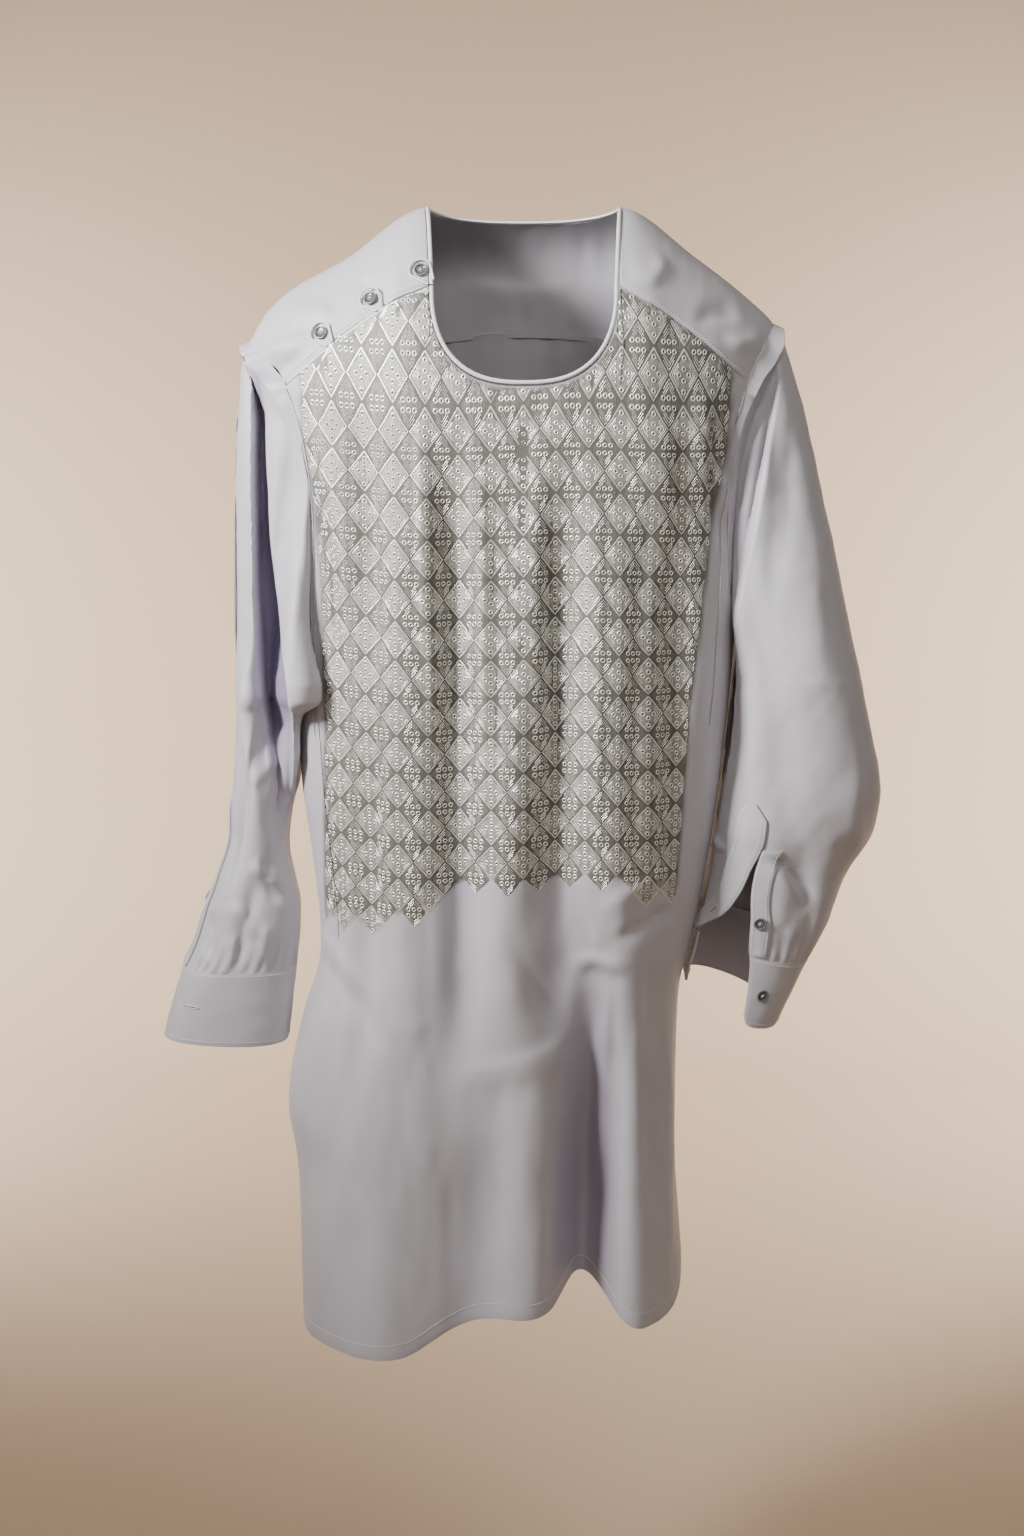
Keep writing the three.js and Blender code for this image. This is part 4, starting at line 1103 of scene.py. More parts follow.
def body_panel(name, top, face, rows, finish):
    """The front or the back, from its top edge to its hem, with its folds marked."""
    u, s = panel_places(top, face, rows)
    grid = cloth_on_body(u, s)
    normals = grid_normals(grid)
    if normals[..., 1].sum() * face < 0:
        normals = -normals
    grid = grid + normals * seam_pucker(*u.shape)[..., None]
    piece = cut_piece(name, grid, ["yoke_cloth"], finish, normals=normals, soften=PANEL_SOFTENING)
    # The hollow mark sets where the painted fold shade darkens the cloth
    mark(piece, "hollow", body_hollow(face, mesh_places(piece)))
    return piece


# Embroidery. Pattern coordinates are millimetres on the cloth: a to the left of the middle, b down.
ARC_STEPS = 400
worked_sides_at = table("z right_edge left_edge", [
    [-100, -188, 176],
    [-194, -186, 174],
    [-245, -179, 164],
    [-295, -175, 158],
    [-370, -173, 150],
    [-416, -171, 145],
    [-471, -173, 142],
    [-534, -175, 138],
    [-602, -176, 134],
    [-640, -176, 132],
])
worked_bottom = table("x z", [
    [-176, -622],
    [-141, -617],
    [-106, -608],
    [-72, -596],
    [-54, -584],
    [-28, -575],
    [-3, -575],
    [23, -579],
    [58, -571],
    [92, -581],
    [118, -590],
    [134, -592],
])
WORKED_SEAM_MARGIN = 0.5
ARMHOLE_MARGIN = 1.5
# The dark ground, the worked cloth's colour with painted shade in the gaps between the diamonds, ends this far
# above the lowest diamonds, over a soft edge of this half-width
GROUND_LIFT = 12
GROUND_BLUR = 2.5
# Below this height only the sides clip the diamonds, so that the lowest ones stay whole
WHOLE_BELOW = -560


def pattern_lateral(a, z):
    """Front-view x of a distance a round the body from its middle, at height z."""
    row = body_at(z)
    half = (row.right - row.left) / 2
    centre = (row.left + row.right) / 2
    turn = np.linspace(0, 0.999, ARC_STEPS) * math.pi / 2
    x = np.sin(turn) ** (2 / SECTION_POWER)
    y = np.cos(turn) ** (2 / SECTION_POWER) * 0.5
    arc = np.concatenate([[0], np.cumsum(np.hypot(np.diff(x), np.diff(y)))])
    lateral = np.interp(np.abs(a - centre) / half, arc, x)
    return centre + np.sign(a - centre) * lateral * half


def pattern_height(b):
    """Height of a distance b down the middle of the front from the shoulder line."""
    height, length = FRONT_ARCH
    bend = np.minimum(b / length, 1) * math.pi / 2
    return 1 - height * (1 - np.cos(bend)) - np.maximum(b - length, 0)


def pattern_place(a, b):
    """Front-view place of pattern coordinates; rows sag a little between the folds."""
    a, b = np.broadcast_arrays(np.asarray(a, float), np.asarray(b, float))
    z = pattern_height(b) + 2.5 * np.sin(a / 38.0 + 0.6) + 0.02 * np.abs(a)
    return pattern_lateral(a, z), z


def front_top_line():
    """The front's top edge in the front view: yoke seams at the sides, the scoop between."""
    ways = np.linspace(0, 1, 60)
    right = front_seam_at[RIGHT](ways)
    left = front_seam_at[LEFT](ways)
    scoop = on_body(*from_neck(*neck_front(np.linspace(0.02, 0.98, 60) * math.pi, NECK_MARGIN)))
    line_x = np.concatenate([right.x, scoop[:, 0], left.x[::-1]])
    return line_x, np.concatenate([right.z, scoop[:, 2], left.z[::-1]])


FRONT_TOP_LINE = front_top_line()


def worked_margin(x, z):
    """How far inside the worked area a place lies, in millimetres: negative outside."""
    sides = worked_sides_at(z)
    armhole_right = armhole_edge_at[RIGHT](np.maximum(z, UNDERARM)).front + ARMHOLE_MARGIN
    armhole_left = armhole_edge_at[LEFT](np.maximum(z, UNDERARM)).front - ARMHOLE_MARGIN
    low = np.maximum(sides.right_edge, armhole_right)
    high = np.minimum(sides.left_edge, armhole_left)
    margin = np.minimum(x - low, high - x)
    margin = np.minimum(margin, z - worked_bottom(x).z)
    return np.minimum(margin, np.interp(x, *FRONT_TOP_LINE) - z - WORKED_SEAM_MARGIN)


def side_margin(x, z):
    """The margin to the sides and top of the worked area alone."""
    return worked_margin(x, np.maximum(z, WHOLE_BELOW))


class PERAHAN_OT_front(bpy.types.Operator):
    """Makes the front, its worked ground marked, and the folds of its cloth"""

    bl_idname = "perahan.front"
    bl_label = "Front"

    def execute(self, context):
        piece = body_panel("front", front_top_edge(), -1, FRONT_ROWS, "front")
        x, _, z = mesh_places(piece).T
        # The worked mark sets the dark ground with its painted shade in the gaps
        margin = np.minimum(worked_margin(x, z), z - worked_bottom(x).z - GROUND_LIFT)
        mark(piece, "worked", smooth_step(-GROUND_BLUR, GROUND_BLUR, margin))
        return {"FINISHED"}


class PERAHAN_OT_back(bpy.types.Operator):
    """Makes the back with its long folds"""

    bl_idname = "perahan.back"
    bl_label = "Back"

    def execute(self, context):
        body_panel("back", back_top_edge(), 1, BACK_ROWS, "cloth")
        return {"FINISHED"}


# Yoke columns: numbers in the part's source, and how many finer columns each stands for
YOKE_SEAM_STEPS = 8
YOKE_SIDE_STEPS = 6
YOKE_BACK_STEPS = 12
YOKE_SPREAD = (52, 62)
YOKE_FINER = 5
YOKE_ROWS = 80
# Columns beside each armhole that follow its curve
YOKE_BLEND = 3 * YOKE_FINER


def yoke_top_edge():
    """Front and neck edge of the yoke, at fractional columns of the part's source."""
    last = 2 * (YOKE_SEAM_STEPS + YOKE_SIDE_STEPS) + YOKE_BACK_STEPS
    columns = np.linspace(0, last, last * YOKE_FINER + 1)
    places_u = np.empty(columns.shape)
    places_s = np.empty(columns.shape)
    near = np.minimum(columns, last - columns)
    side = np.where(columns * 2 > last, LEFT, RIGHT)
    for one_side in (RIGHT, LEFT):
        mine = (side == one_side) & (near <= YOKE_SEAM_STEPS)
        way = near[mine] / YOKE_SEAM_STEPS
        row = front_seam_at[one_side](way)
        shift = one_side * NECK_MARGIN * smooth_step(0.8, 1, way)
        places_u[mine], places_s[mine] = place_of(-1, row.x + shift, row.z)
        mine = (side == one_side) & (near > YOKE_SEAM_STEPS) & (near <= YOKE_SEAM_STEPS + YOKE_SIDE_STEPS)
        way = (near[mine] - YOKE_SEAM_STEPS) / YOKE_SIDE_STEPS
        places_u[mine], places_s[mine] = from_neck(*neck_side(one_side, way, NECK_MARGIN))
    mine = near > YOKE_SEAM_STEPS + YOKE_SIDE_STEPS
    way = (columns[mine] - YOKE_SEAM_STEPS - YOKE_SIDE_STEPS) / YOKE_BACK_STEPS
    places_u[mine], places_s[mine] = from_neck(*neck_back(way * math.pi, NECK_MARGIN))
    return columns, last, places_u, places_s


def yoke_back_x(columns, last):
    ends = [armhole_edge_at[side](YOKE_END).back for side in (RIGHT, LEFT)]
    seam, side_width = YOKE_SPREAD
    near = np.minimum(columns, last - columns)
    shoulder = YOKE_SEAM_STEPS + YOKE_SIDE_STEPS
    offset = np.interp(near, [0, YOKE_SEAM_STEPS, shoulder], [0, seam, seam + side_width])
    left_half = columns * 2 <= last
    x = np.where(left_half, ends[0] + offset, ends[1] - offset)
    first = ends[0] + seam + side_width
    final = ends[1] - seam - side_width
    middle = mix(first, final, (columns - shoulder) / YOKE_BACK_STEPS)
    return np.where(near > shoulder, middle, x)


class PERAHAN_OT_yoke(bpy.types.Operator):
    """Makes the yoke over both shoulders and behind the neck"""

    bl_idname = "perahan.yoke"
    bl_label = "Yoke"

    def execute(self, context):
        columns, last, start_u, start_s = yoke_top_edge()
        x = yoke_back_x(columns, last)
        end_u, end_s = place_of(1, x, back_seam_height(x))
        ways = np.linspace(0, 1, YOKE_ROWS + 1)
        u = mix(start_u[None], end_u[None], ways[:, None])
        s = mix(start_s[None], end_s[None], ways[:, None])
        for side, column in ((RIGHT, 0), (LEFT, -1)):
            before = front_seam_angle(side) * (1 - 2 * np.minimum(ways, 0.5))
            after = back_seam_angle(side) * (2 * np.maximum(ways, 0.5) - 1)
            edge_u, edge_s = armhole_seam(side, np.where(ways <= 0.5, before, -after))
            u[:, column] = edge_u
            s[:, column] = edge_s
            for k in range(1, YOKE_BLEND):
                share = (1 - k / YOKE_BLEND) ** 2 * (1 - ways**8) * (1 - (1 - ways) ** 8)
                at = column - side * k
                own_u = edge_u - (start_u[column] - start_u[at])
                u[:, at] = mix(u[:, at], own_u, share)
                s[:, at] = mix(s[:, at], edge_s, share)
        grid = cloth_on_body(u, s, "yoke")
        normals = body_normal(u, s, lambda a, b: cloth_on_body(a, b, "yoke"))
        cut_piece("yoke", grid, ["back_cloth"], normals=normals, soften=0.4)
        return {"FINISHED"}


# Sleeves, as in the part's source: rings by height
SLEEVE_COLUMNS = (
    "z inner outer front back lean valley_x valley_depth valley_width"
    " tilt pitch slit_start slit_end"
)
SLEEVE_FAN = -400
SLIT_APEX = {RIGHT: -556, LEFT: -552}
CUFF_LEVELS = {RIGHT: (-668, -738), LEFT: (-648, -712)}
sleeve_at = {
    RIGHT: table(SLEEVE_COLUMNS, [
        [-400, -167, -255, -84, 62, 0.55, -226, 34, 13, 0, 0, 0, 0],
        [-416, -168, -256, -83, 62, 0.55, -226, 34, 13, 0, 0, 0, 0],
        [-430, -184, -256, -64, 60, 0.5, -226, 30, 13, 0, 0, 0, 0],
        [-472, -191, -258, -56, 56, 0.4, -224, 24, 12, 0, 0, 0, 0],
        [-517, -206, -262, -46, 52, 0.2, -220, 12, 10, 0, 0, 0, 0],
        [-556, -212, -265, -40, 46, 0, -220, 2, 10, 0, 0, 0, 0],
        [-584, -208, -275, -38, 44, 0, -236, 3, 9, 0, 0, 4, -8],
        [-613, -203, -287, -38, 42, 0, -245, 4, 8, 0, 0, 6, -14],
        [-643, -204, -297, -38, 42, 0, -252, 4, 8, 0, 0, 6, -20],
        [-668, -207, -309, -38, 40, 0, -256, 0, 8, 0, 0, 5, -24],
        [-738, -216, -330, -38, 38, 0, -256, 0, 8, -0.04, 0, 4, -26],
    ]),
    LEFT: table(SLEEVE_COLUMNS, [
        [-400, 172, 296, -74, 64, -0.2, 214, 6, 14, 0, 0, 0, 0],
        [-440, 171, 306, -72, 62, -0.2, 222, 5, 16, 0, 0, 0, 0],
        [-510, 168, 320, -64, 58, -0.1, 230, 4, 16, 0, 0, 0, 0],
        [-545, 166, 316, -58, 56, 0, 236, 3, 16, 0, 0, 0, 0],
        [-552, 165, 312, -56, 55, 0, 240, 3, 14, -0.02, 0, 0, 0],
        [-572, 163, 297, -53, 53, 0, 246, 6, 13, -0.07, 0.03, 2, -1],
        [-594, 160, 287, -51, 50, 0, 250, 6, 12, -0.12, 0.08, 5, -3],
        [-620, 155, 278, -49, 46, 0, 250, 4, 10, -0.2, 0.15, 14, -9],
        [-648, 144, 262, -47, 42, 0, 240, 0, 10, -0.3, 0.22, 31, -19],
        [-712, 142, 234, -45, 38, 0, 240, 0, 10, -0.36, 0.27, 38, -29],
    ]),
}
SLEEVE_POWER = 2.3
SLEEVE_CROWN = 8
SLEEVE_HINGE = -45
BACK_LEAN = 0.3
BODY_CLEARANCE = 5
FAN_ROWS = 72
SLEEVE_STEP = 3.4
HOLLOW_EDGE = 3
RING_FINER = 7
# Columns round the right sleeve's front fold, where the mesh is twice as fine
FOLD_COLUMNS = (3.5, 9)

# The deep hollow beside each sleeve's front fold: its two edges in the front view, and its depth
hollow_at = {
    RIGHT: table("z outer inner depth", [
        [-116, -230, -222, 0],
        [-135, -230, -222, 14],
        [-178, -230.5, -223, 26],
        [-240, -231.5, -221, 30],
        [-310, -231.5, -216.5, 32],
        [-364, -230, -210, 32],
        [-430, -226, -202, 26],
        [-480, -223, -203, 14],
        [-530, -221, -208, 5],
        [-570, -220, -210, 0],
    ]),
    LEFT: table("z outer inner depth", [
        [-116, 219, 205, 0],
        [-140, 217, 199, 6],
        [-200, 207, 184, 9],
        [-260, 197, 176, 9],
        [-320, 187, 168, 6],
        [-370, 180, 164, 0],
        [-560, 180, 164, 0],
    ]),
}


def hollow_depth(side, x, z):
    """How far the cloth lies back in the hollow beside the front fold."""
    row = hollow_at[side](z)
    inner = smooth_step(-HOLLOW_EDGE, HOLLOW_EDGE, (x - row.inner) * side)
    outer = smooth_step(-HOLLOW_EDGE, HOLLOW_EDGE, (row.outer - x) * side)
    return row.depth * inner * outer


def clear_of_body(side, points, clearance):
    row = body_at(points[..., 2])
    centre = (row.left + row.right) / 2
    half = (row.right - row.left) / 2 + clearance
    depth = np.where(points[..., 1] < 0, row.front, row.back) + clearance
    rest = 1 - np.minimum(np.abs(points[..., 1]) / depth, 1) ** SECTION_POWER
    limit = centre + side * half * rest ** (1 / SECTION_POWER)
    inside = (points[..., 0] - limit) * side < 0
    points[..., 0] = np.where(inside, limit, points[..., 0])
    return points


def sleeve_ring(side, z, angle, grow=0.0):
    """Points of a free ring: angle 0 is its outer side, 90 its front, 180 its inner side."""
    z, angle = np.broadcast_arrays(np.asarray(z, float), np.asarray(angle, float))
    row = sleeve_at[side](z)
    middle = (row.inner + row.outer) / 2
    half = (row.outer - row.inner) / 2 + side * grow
    x = middle + half * signed_power(np.cos(angle), 2 / SLEEVE_POWER)
    deep = (row.back - row.front) / 2 + grow
    sine = np.sin(angle)
    y = (row.front + row.back) / 2 - deep * signed_power(sine, 2 / SLEEVE_POWER)
    valley = row.valley_depth * np.exp(-(((x - row.valley_x) / row.valley_width) ** 2))
    y = y + np.where(sine > 0, valley + hollow_depth(side, x, z), 0)
    y = y + row.lean * (x - middle) * side * np.where(sine > 0, 1, BACK_LEAN)
    rise = row.tilt * (x - middle) + row.pitch * (y - SLEEVE_HINGE)
    return clear_of_body(side, np.stack([x, y, z + rise], axis=-1), BODY_CLEARANCE - grow)


def ring_surface(side, z, angle, grow=0.0):
    """Points and outward normals of a free ring."""
    points = sleeve_ring(side, z, angle, grow)
    ahead = sleeve_ring(side, z, angle + 0.01, grow)
    below = sleeve_ring(side, z - 1, angle, grow)
    return points, unit(np.cross(ahead - points, below - points)) * side


def slit_angle(side, z, column):
    """Angle of a column of the sleeve at a height, drawn aside where the slit stands open."""
    angles = ring_angles(side)
    angle = np.interp(column, np.arange(len(angles)), angles)
    row = sleeve_at[side](z)
    way = (angle - angles[0]) / (2 * math.pi)
    return angle + np.radians(mix(row.slit_start, row.slit_end, way))


def sleeve_height(side, points, angle):
    """Creases and unevenness of a sleeve's cloth."""
    x = points[..., 0]
    z = points[..., 2]
    sine = np.sin(angle)
    front = crease_height(x, z, SLEEVE_FRONT_CREASES[side]) * smooth_step(0, 0.35, sine)
    back = crease_height(x, z, SLEEVE_BACK_CREASES[side]) * smooth_step(0, 0.35, -sine)
    noise = 0.9 * soft_noise(x * 1.5, z * 0.6, 34, 20 + side) + 0.4 * soft_noise(x * 1.4, z, 14, 30 + side)
    return front + back + noise


def sleeve_surface(side, z, column):
    """Points of the free part of a sleeve with its creases."""
    z, column = np.broadcast_arrays(np.asarray(z, float), np.asarray(column, float))
    angle = slit_angle(side, z, column)
    points, normals = ring_surface(side, z, angle)
    height = sleeve_height(side, points, angle)
    cuff_top = CUFF_LEVELS[side][0]
    gathers = 0.8 * np.sin(column * 2 * math.pi / 0.9) * np.exp(-np.maximum(z - cuff_top, 0) / 16)
    height = np.where(z > cuff_top, height + gathers, height * 0.3)
    return points + normals * height[..., None], normals


def sleeve_fan(side, ways, columns):
    """The part of a sleeve that fans out from the armhole down to its first free ring."""
    angles = ring_angles(side)
    angle = np.interp(columns, np.arange(len(angles)), angles)
    seam = armhole_seam(side, angle)
    start = on_body(*seam)
    start_normals = body_normal(*seam)
    ring = sleeve_ring(side, SLEEVE_FAN, angle)
    row = sleeve_at[side](SLEEVE_FAN)
    way = ways[:, None]
    points = mix(start[None], ring[None], way[..., None])
    points[..., 0] += side * SLEEVE_CROWN * np.maximum(np.cos(angle), 0) * np.sin(math.pi * way**0.5)
    valley = row.valley_depth * (way**0.4 - way)
    valley = valley * np.exp(-(((points[..., 0] - row.valley_x) / 9) ** 2))
    ring_hollow = hollow_depth(side, ring[..., 0], SLEEVE_FAN)
    hollow = hollow_depth(side, points[..., 0], points[..., 2]) - way * ring_hollow
    points[..., 1] += np.where(np.sin(angle) > 0, valley + hollow, 0)
    reach = BODY_CLEARANCE * np.minimum(way * 2, 1)
    points = clear_of_body(side, points, np.broadcast_to(reach, points.shape[:2]))
    normals = grid_normals(points, side, closed=True)
    height = sleeve_height(side, points, angle[None])
    gathers = 0.7 * np.sin(columns * 2 * math.pi / 1.1 + 0.4 * np.sin(columns * 3)) * np.exp(-way * 22)
    height = (height + gathers) * smooth_step(0, 0.12, way) + gathers * (1 - smooth_step(0, 0.12, way)) * 0.4
    points = points + normals * height[..., None]
    points[0] = start - start_normals * 0.2
    return points


class PERAHAN_OT_sleeves(bpy.types.Operator):
    """Makes both sleeves, open from the armhole to the cuff, with their slits"""

    bl_idname = "perahan.sleeves"
    bl_label = "Sleeves"

    def execute(self, context):
        for side, name in WEARER_SIDES.items():
            columns = np.linspace(0, RING_LAST, RING_LAST * RING_FINER + 1)
            if side == RIGHT:
                middles = (columns[1:] + columns[:-1]) / 2
                finer = middles[(middles > FOLD_COLUMNS[0]) & (middles < FOLD_COLUMNS[1])]
                columns = np.sort(np.concatenate([columns, finer]))
            fan = sleeve_fan(side, np.linspace(0, 1, FAN_ROWS + 1), columns)
            bottom = CUFF_LEVELS[side][0] - 2
            above = round((SLEEVE_FAN - SLIT_APEX[side]) / SLEEVE_STEP)
            below = round((SLIT_APEX[side] - bottom) / SLEEVE_STEP)
            upper = np.linspace(SLEEVE_FAN, SLIT_APEX[side], above + 1)[1:]
            lower = np.linspace(SLIT_APEX[side], bottom, below + 1)[1:]
            free, _ = sleeve_surface(side, np.concatenate([upper, lower])[:, None], columns[None])
            joined_rows = FAN_ROWS + 1 + len(upper)
            grid = np.concatenate([fan, free])
            grid[:joined_rows, -1] = grid[:joined_rows, 0]
            rests_on = ("yoke_cloth", "front_cloth", "back_cloth")
            piece = cut_piece(f"sleeve_{name}", grid, rests_on, outward=side, joined_rows=joined_rows)
            # The hollow mark sets where the painted fold shade darkens the sleeve beside its front fold
            places = mesh_places(piece)
            depth = hollow_depth(side, places[:, 0], places[:, 2]) * (places[:, 1] < 15)
            mark(piece, "hollow", np.clip(depth / 28, 0, 1))
        return {"FINISHED"}


CUFF_ROWS = 22
CUFF_FINER = 6
CUFF_CORNER = 9
CUFF_LENGTH = 250
CUFF_WALL = 2.0
CUFF_DROP = 0.9
CUFF_GROW = 0.5
CUFF_END_LIFT = {RIGHT: 0, LEFT: 16}


def cuff_point(side, way, column):
    """Points of a cuff: way 0 at its sewn top, 1 at its lower edge, with rounded lower corners."""
    way, column = np.broadcast_arrays(np.asarray(way, float), np.asarray(column, float))
    top, bottom = CUFF_LEVELS[side]
    to_end = np.minimum(column, RING_LAST - column) / RING_LAST * CUFF_LENGTH
    inset = np.maximum(CUFF_CORNER - to_end, 0)
    rounding = CUFF_CORNER - np.sqrt(CUFF_CORNER**2 - inset**2)
    rounding = rounding + CUFF_END_LIFT[side] * (1 - smooth_step(0, 3, column))
    z = mix(top - CUFF_DROP, bottom + rounding, way)
    angle = slit_angle(side, z, column)
    points, normals = ring_surface(side, z, angle, CUFF_GROW)
    soft = 0.35 * soft_noise(column * 9, z, 12, 44 + side)
    return points + normals * soft[..., None], normals


class PERAHAN_OT_cuffs(bpy.types.Operator):
    """Makes both cuffs, open at the slit, with rounded corners"""

    bl_idname = "perahan.cuffs"
    bl_label = "Cuffs"

    def execute(self, context):
        for side, name in WEARER_SIDES.items():
            columns = np.linspace(0, RING_LAST, RING_LAST * CUFF_FINER + 1)
            ways = np.linspace(0, 1, CUFF_ROWS + 1)[:, None]
            grid, normals = cuff_point(side, ways, columns[None])
            rests_on = [f"sleeve_{name}_cloth"]
            cut_piece(f"cuff_{name}", grid, rests_on, thickness=CUFF_WALL, normals=normals, soften=0.5)
        return {"FINISHED"}


BAND_WALL = 1.1
BAND_INSET = 0.04
BAND_POINT = 14
BAND_ROWS = 47
BAND_COLUMNS = 10
PLACKET = SimpleNamespace(
    name="placket", edge="start", width=1.6, top={RIGHT: -517, LEFT: -510},
    lift={RIGHT: 0.9, LEFT: 1.6}, pointed=True,
)
SLIT_BAND = SimpleNamespace(
    name="slit_band", edge="end", width=0.9, top=SLIT_APEX, lift={RIGHT: 0.9, LEFT: 0.9}, pointed=False,
)
BANDS = (PLACKET, SLIT_BAND)


def band_point(band, side, z, share):
    """Points of a band along one edge of a slit; share runs over its width from its outer edge."""
    narrowing = 1.0
    if band.pointed:
        narrowing = np.clip((band.top[side] - z) / BAND_POINT, 0, 1) * 0.7 + 0.3
    across = BAND_INSET + band.width * (0.5 + (share - 0.5) * narrowing)
    column = across if band.edge == "start" else RING_LAST - across
    points, normals = sleeve_surface(side, z, column)
    return points + normals * (band.lift[side] + BAND_WALL), normals


class PERAHAN_OT_bands(bpy.types.Operator):
    """Makes the bands that finish the sleeve slits; the lapping one ends in a point"""

    bl_idname = "perahan.bands"
    bl_label = "Slit bands"

    def execute(self, context):
        for side, name in WEARER_SIDES.items():
            for band in BANDS:
                z = np.linspace(band.top[side], CUFF_LEVELS[side][0], BAND_ROWS + 1)[:, None]
                share = np.linspace(0, 1, BAND_COLUMNS + 1)[None]
                grid, normals = band_point(band, side, z, share)
                rests_on = [f"sleeve_{name}_cloth"]
                cut_piece(
                    f"{band.name}_{name}", grid, rests_on, thickness=BAND_WALL, normals=normals, soften=0.35,
                )
        return {"FINISHED"}


# Height of the edge of a stitch above the cloth
STITCH_FOOT = 0.08


def ring_stitches(centres, outer, inner, rise):
    """Small raised rings around centres in pattern coordinates: places, lifts and faces."""
    steps = 12
    lanes = np.array([(inner, STITCH_FOOT), ((inner + outer) / 2, rise + 0.15), (outer, STITCH_FOOT)])
    angles = np.arange(steps) * 2 * math.pi / steps
    ring = np.stack([
        np.cos(angles)[:, None] * lanes[None, :, 0],
        np.sin(angles)[:, None] * lanes[None, :, 0],
        np.broadcast_to(lanes[None, :, 1], (steps, 3)),
    ], axis=-1).reshape(-1, 3)
    centres = np.asarray(centres)
    points = ring[None] + np.concatenate([centres, np.zeros((len(centres), 1))], axis=1)[:, None]
    faces = []
    for j in range(steps):
        after = (j + 1) % steps
        for i in range(2):
            faces.append([j * 3 + i, after * 3 + i, after * 3 + i + 1, j * 3 + i + 1])
    faces = np.array(faces)
    starts = np.arange(len(centres)) * steps * 3
    return points.reshape(-1, 3), (faces[None] + starts[:, None, None]).reshape(-1, 4)


def band_stitches(lines, rise):
    """Raised bands along polylines in pattern coordinates; each line is (points, width)."""
    points = []
    faces = []
    start = 0
    for line, width in lines:
        line = np.asarray(line, float)
        direction = unit(np.gradient(line, axis=0))
        aside = np.stack([-direction[:, 1], direction[:, 0]], axis=-1) * width / 2
        for offset, lift in ((-1, STITCH_FOOT), (0, rise), (1, STITCH_FOOT)):
            lane = line + aside * offset
            points.append(np.concatenate([lane, np.full((len(line), 1), lift)], axis=1))
        count = len(line)
        for lane in range(2):
            for k in range(count - 1):
                a = start + lane * count + k
                faces.append([a, a + 1, a + count + 1, a + count])
        start += 3 * count
    return np.concatenate(points), np.array(faces)


def split_line(corners, step):
    """Points along straight pieces between corners, no further apart than a step."""
    points = [np.asarray(corners[0], float)]
    for start, end in zip(corners[:-1], corners[1:]):
        start = np.asarray(start, float)
        end = np.asarray(end, float)
        count = max(1, math.ceil(np.linalg.norm(end - start) / step))
        points += [mix(start, end, (k + 1) / count) for k in range(count)]
    return points


# Motifs, in shares of half a repeat: rings and lines of the outlined and of the plain diamonds
OUTLINED_RINGS = [(0, -0.60), (0, -0.21), (0, 0.21), (0, 0.60), (-0.33, 0), (0.33, 0)]
PLAIN_RINGS = [(x, y) for y in (-0.18, 0.18) for x in (-0.36, 0, 0.36)]
OUTLINE = [(0, -0.93), (0.93, 0), (0, 0.93), (-0.93, 0), (0, -0.93)]


def corner_chevron(side, inset, arm, steps):
    """A nested chevron at a side corner; with steps, its arms go down in a staircase."""
    tip = side * (0.93 - inset)
    if not steps:
        return [(tip - side * arm, -arm), (tip, 0), (tip - side * arm, arm)]
    upper = []
    for k in range(steps):
        upper.append((tip - side * arm * k / steps, -arm * k / steps))
        upper.append((tip - side * arm * k / steps, -arm * (k + 1) / steps))
    lower = [(x, -y) for x, y in upper]
    return upper[::-1] + lower


def cap_chevron(way, inset, arm):
    """A nested chevron at the top or bottom corner."""
    tip = way * (0.93 - inset)
    return [(-arm, tip - way * arm), (0, tip), (arm, tip - way * arm)]


CORNER_CHEVRONS = ((0.15, 0.42, 0), (0.31, 0.34, 4), (0.46, 0.16, 2))
CAP_CHEVRONS = ((0.08, 0.36), (0.22, 0.36), (0.36, 0.3))
OUTLINED_LINES = [(OUTLINE, 1.35, 4.5)]
OUTLINED_LINES += [(corner_chevron(side, inset, arm, steps), 0.75, 2.6)
                   for side in (-1, 1) for inset, arm, steps in CORNER_CHEVRONS]
PLAIN_LINES = [(cap_chevron(way, inset, arm), 0.55, 3.0)
               for way in (-1, 1) for inset, arm in CAP_CHEVRONS]


# Columns and rows of diamonds tried, and the width of the zone that the edges clip
DIAMOND_COLUMNS = range(-12, 12)
DIAMOND_ROWS = range(1, 28)
EDGE_ZONE = 20


def row_place(row, height):
    """Way down the cloth to a row of diamonds; the rows come a little closer downwards."""
    return height * (1.17 * row - 0.0075 * row * row)


def diamond_grid(width, height, outlined):
    """Centres and half sizes of the outlined diamonds, or of the plain ones between them."""
    shift = 0 if outlined else 0.5
    for i in DIAMOND_COLUMNS:
        for j in DIAMOND_ROWS:
            row = j + shift
            tall = (row_place(row + 0.5, height) - row_place(row - 0.5, height)) / 2
            centre = np.array([(i + shift) * width, row_place(row, height)])
            x, z = pattern_place(*centre)
            margin = side_margin(x, z)
            if margin > -EDGE_ZONE and z > worked_bottom(x).z + 2:
                yield centre, np.array([width / 2, tall]), margin < EDGE_ZONE


def embroidery_motifs(width, height):
    """All rings and lines of the worked area."""
    rings = []
    lines = []
    for outlined, ring_places, line_list in (
        (True, OUTLINED_RINGS, OUTLINED_LINES), (False, PLAIN_RINGS, PLAIN_LINES),
    ):
        for centre, half, _ in diamond_grid(width, height, outlined):
            rings += [centre + np.array(place) * half for place in ring_places]
            for corners, band_width, step in line_list:
                placed = [centre + np.array(corner) * half for corner in corners]
                lines.append((np.array(split_line(placed, step)), band_width))
    return np.array(rings), lines


PLATE_SHARE = 0.972
PLATE_RISE = 0.12
RING_RADII = (2.15, 0.85)
# Radius and lift of the dark discs of painted shade in the middle of the rings
EYELET_RADIUS = 0.9
EYELET_LIFT = 0.2
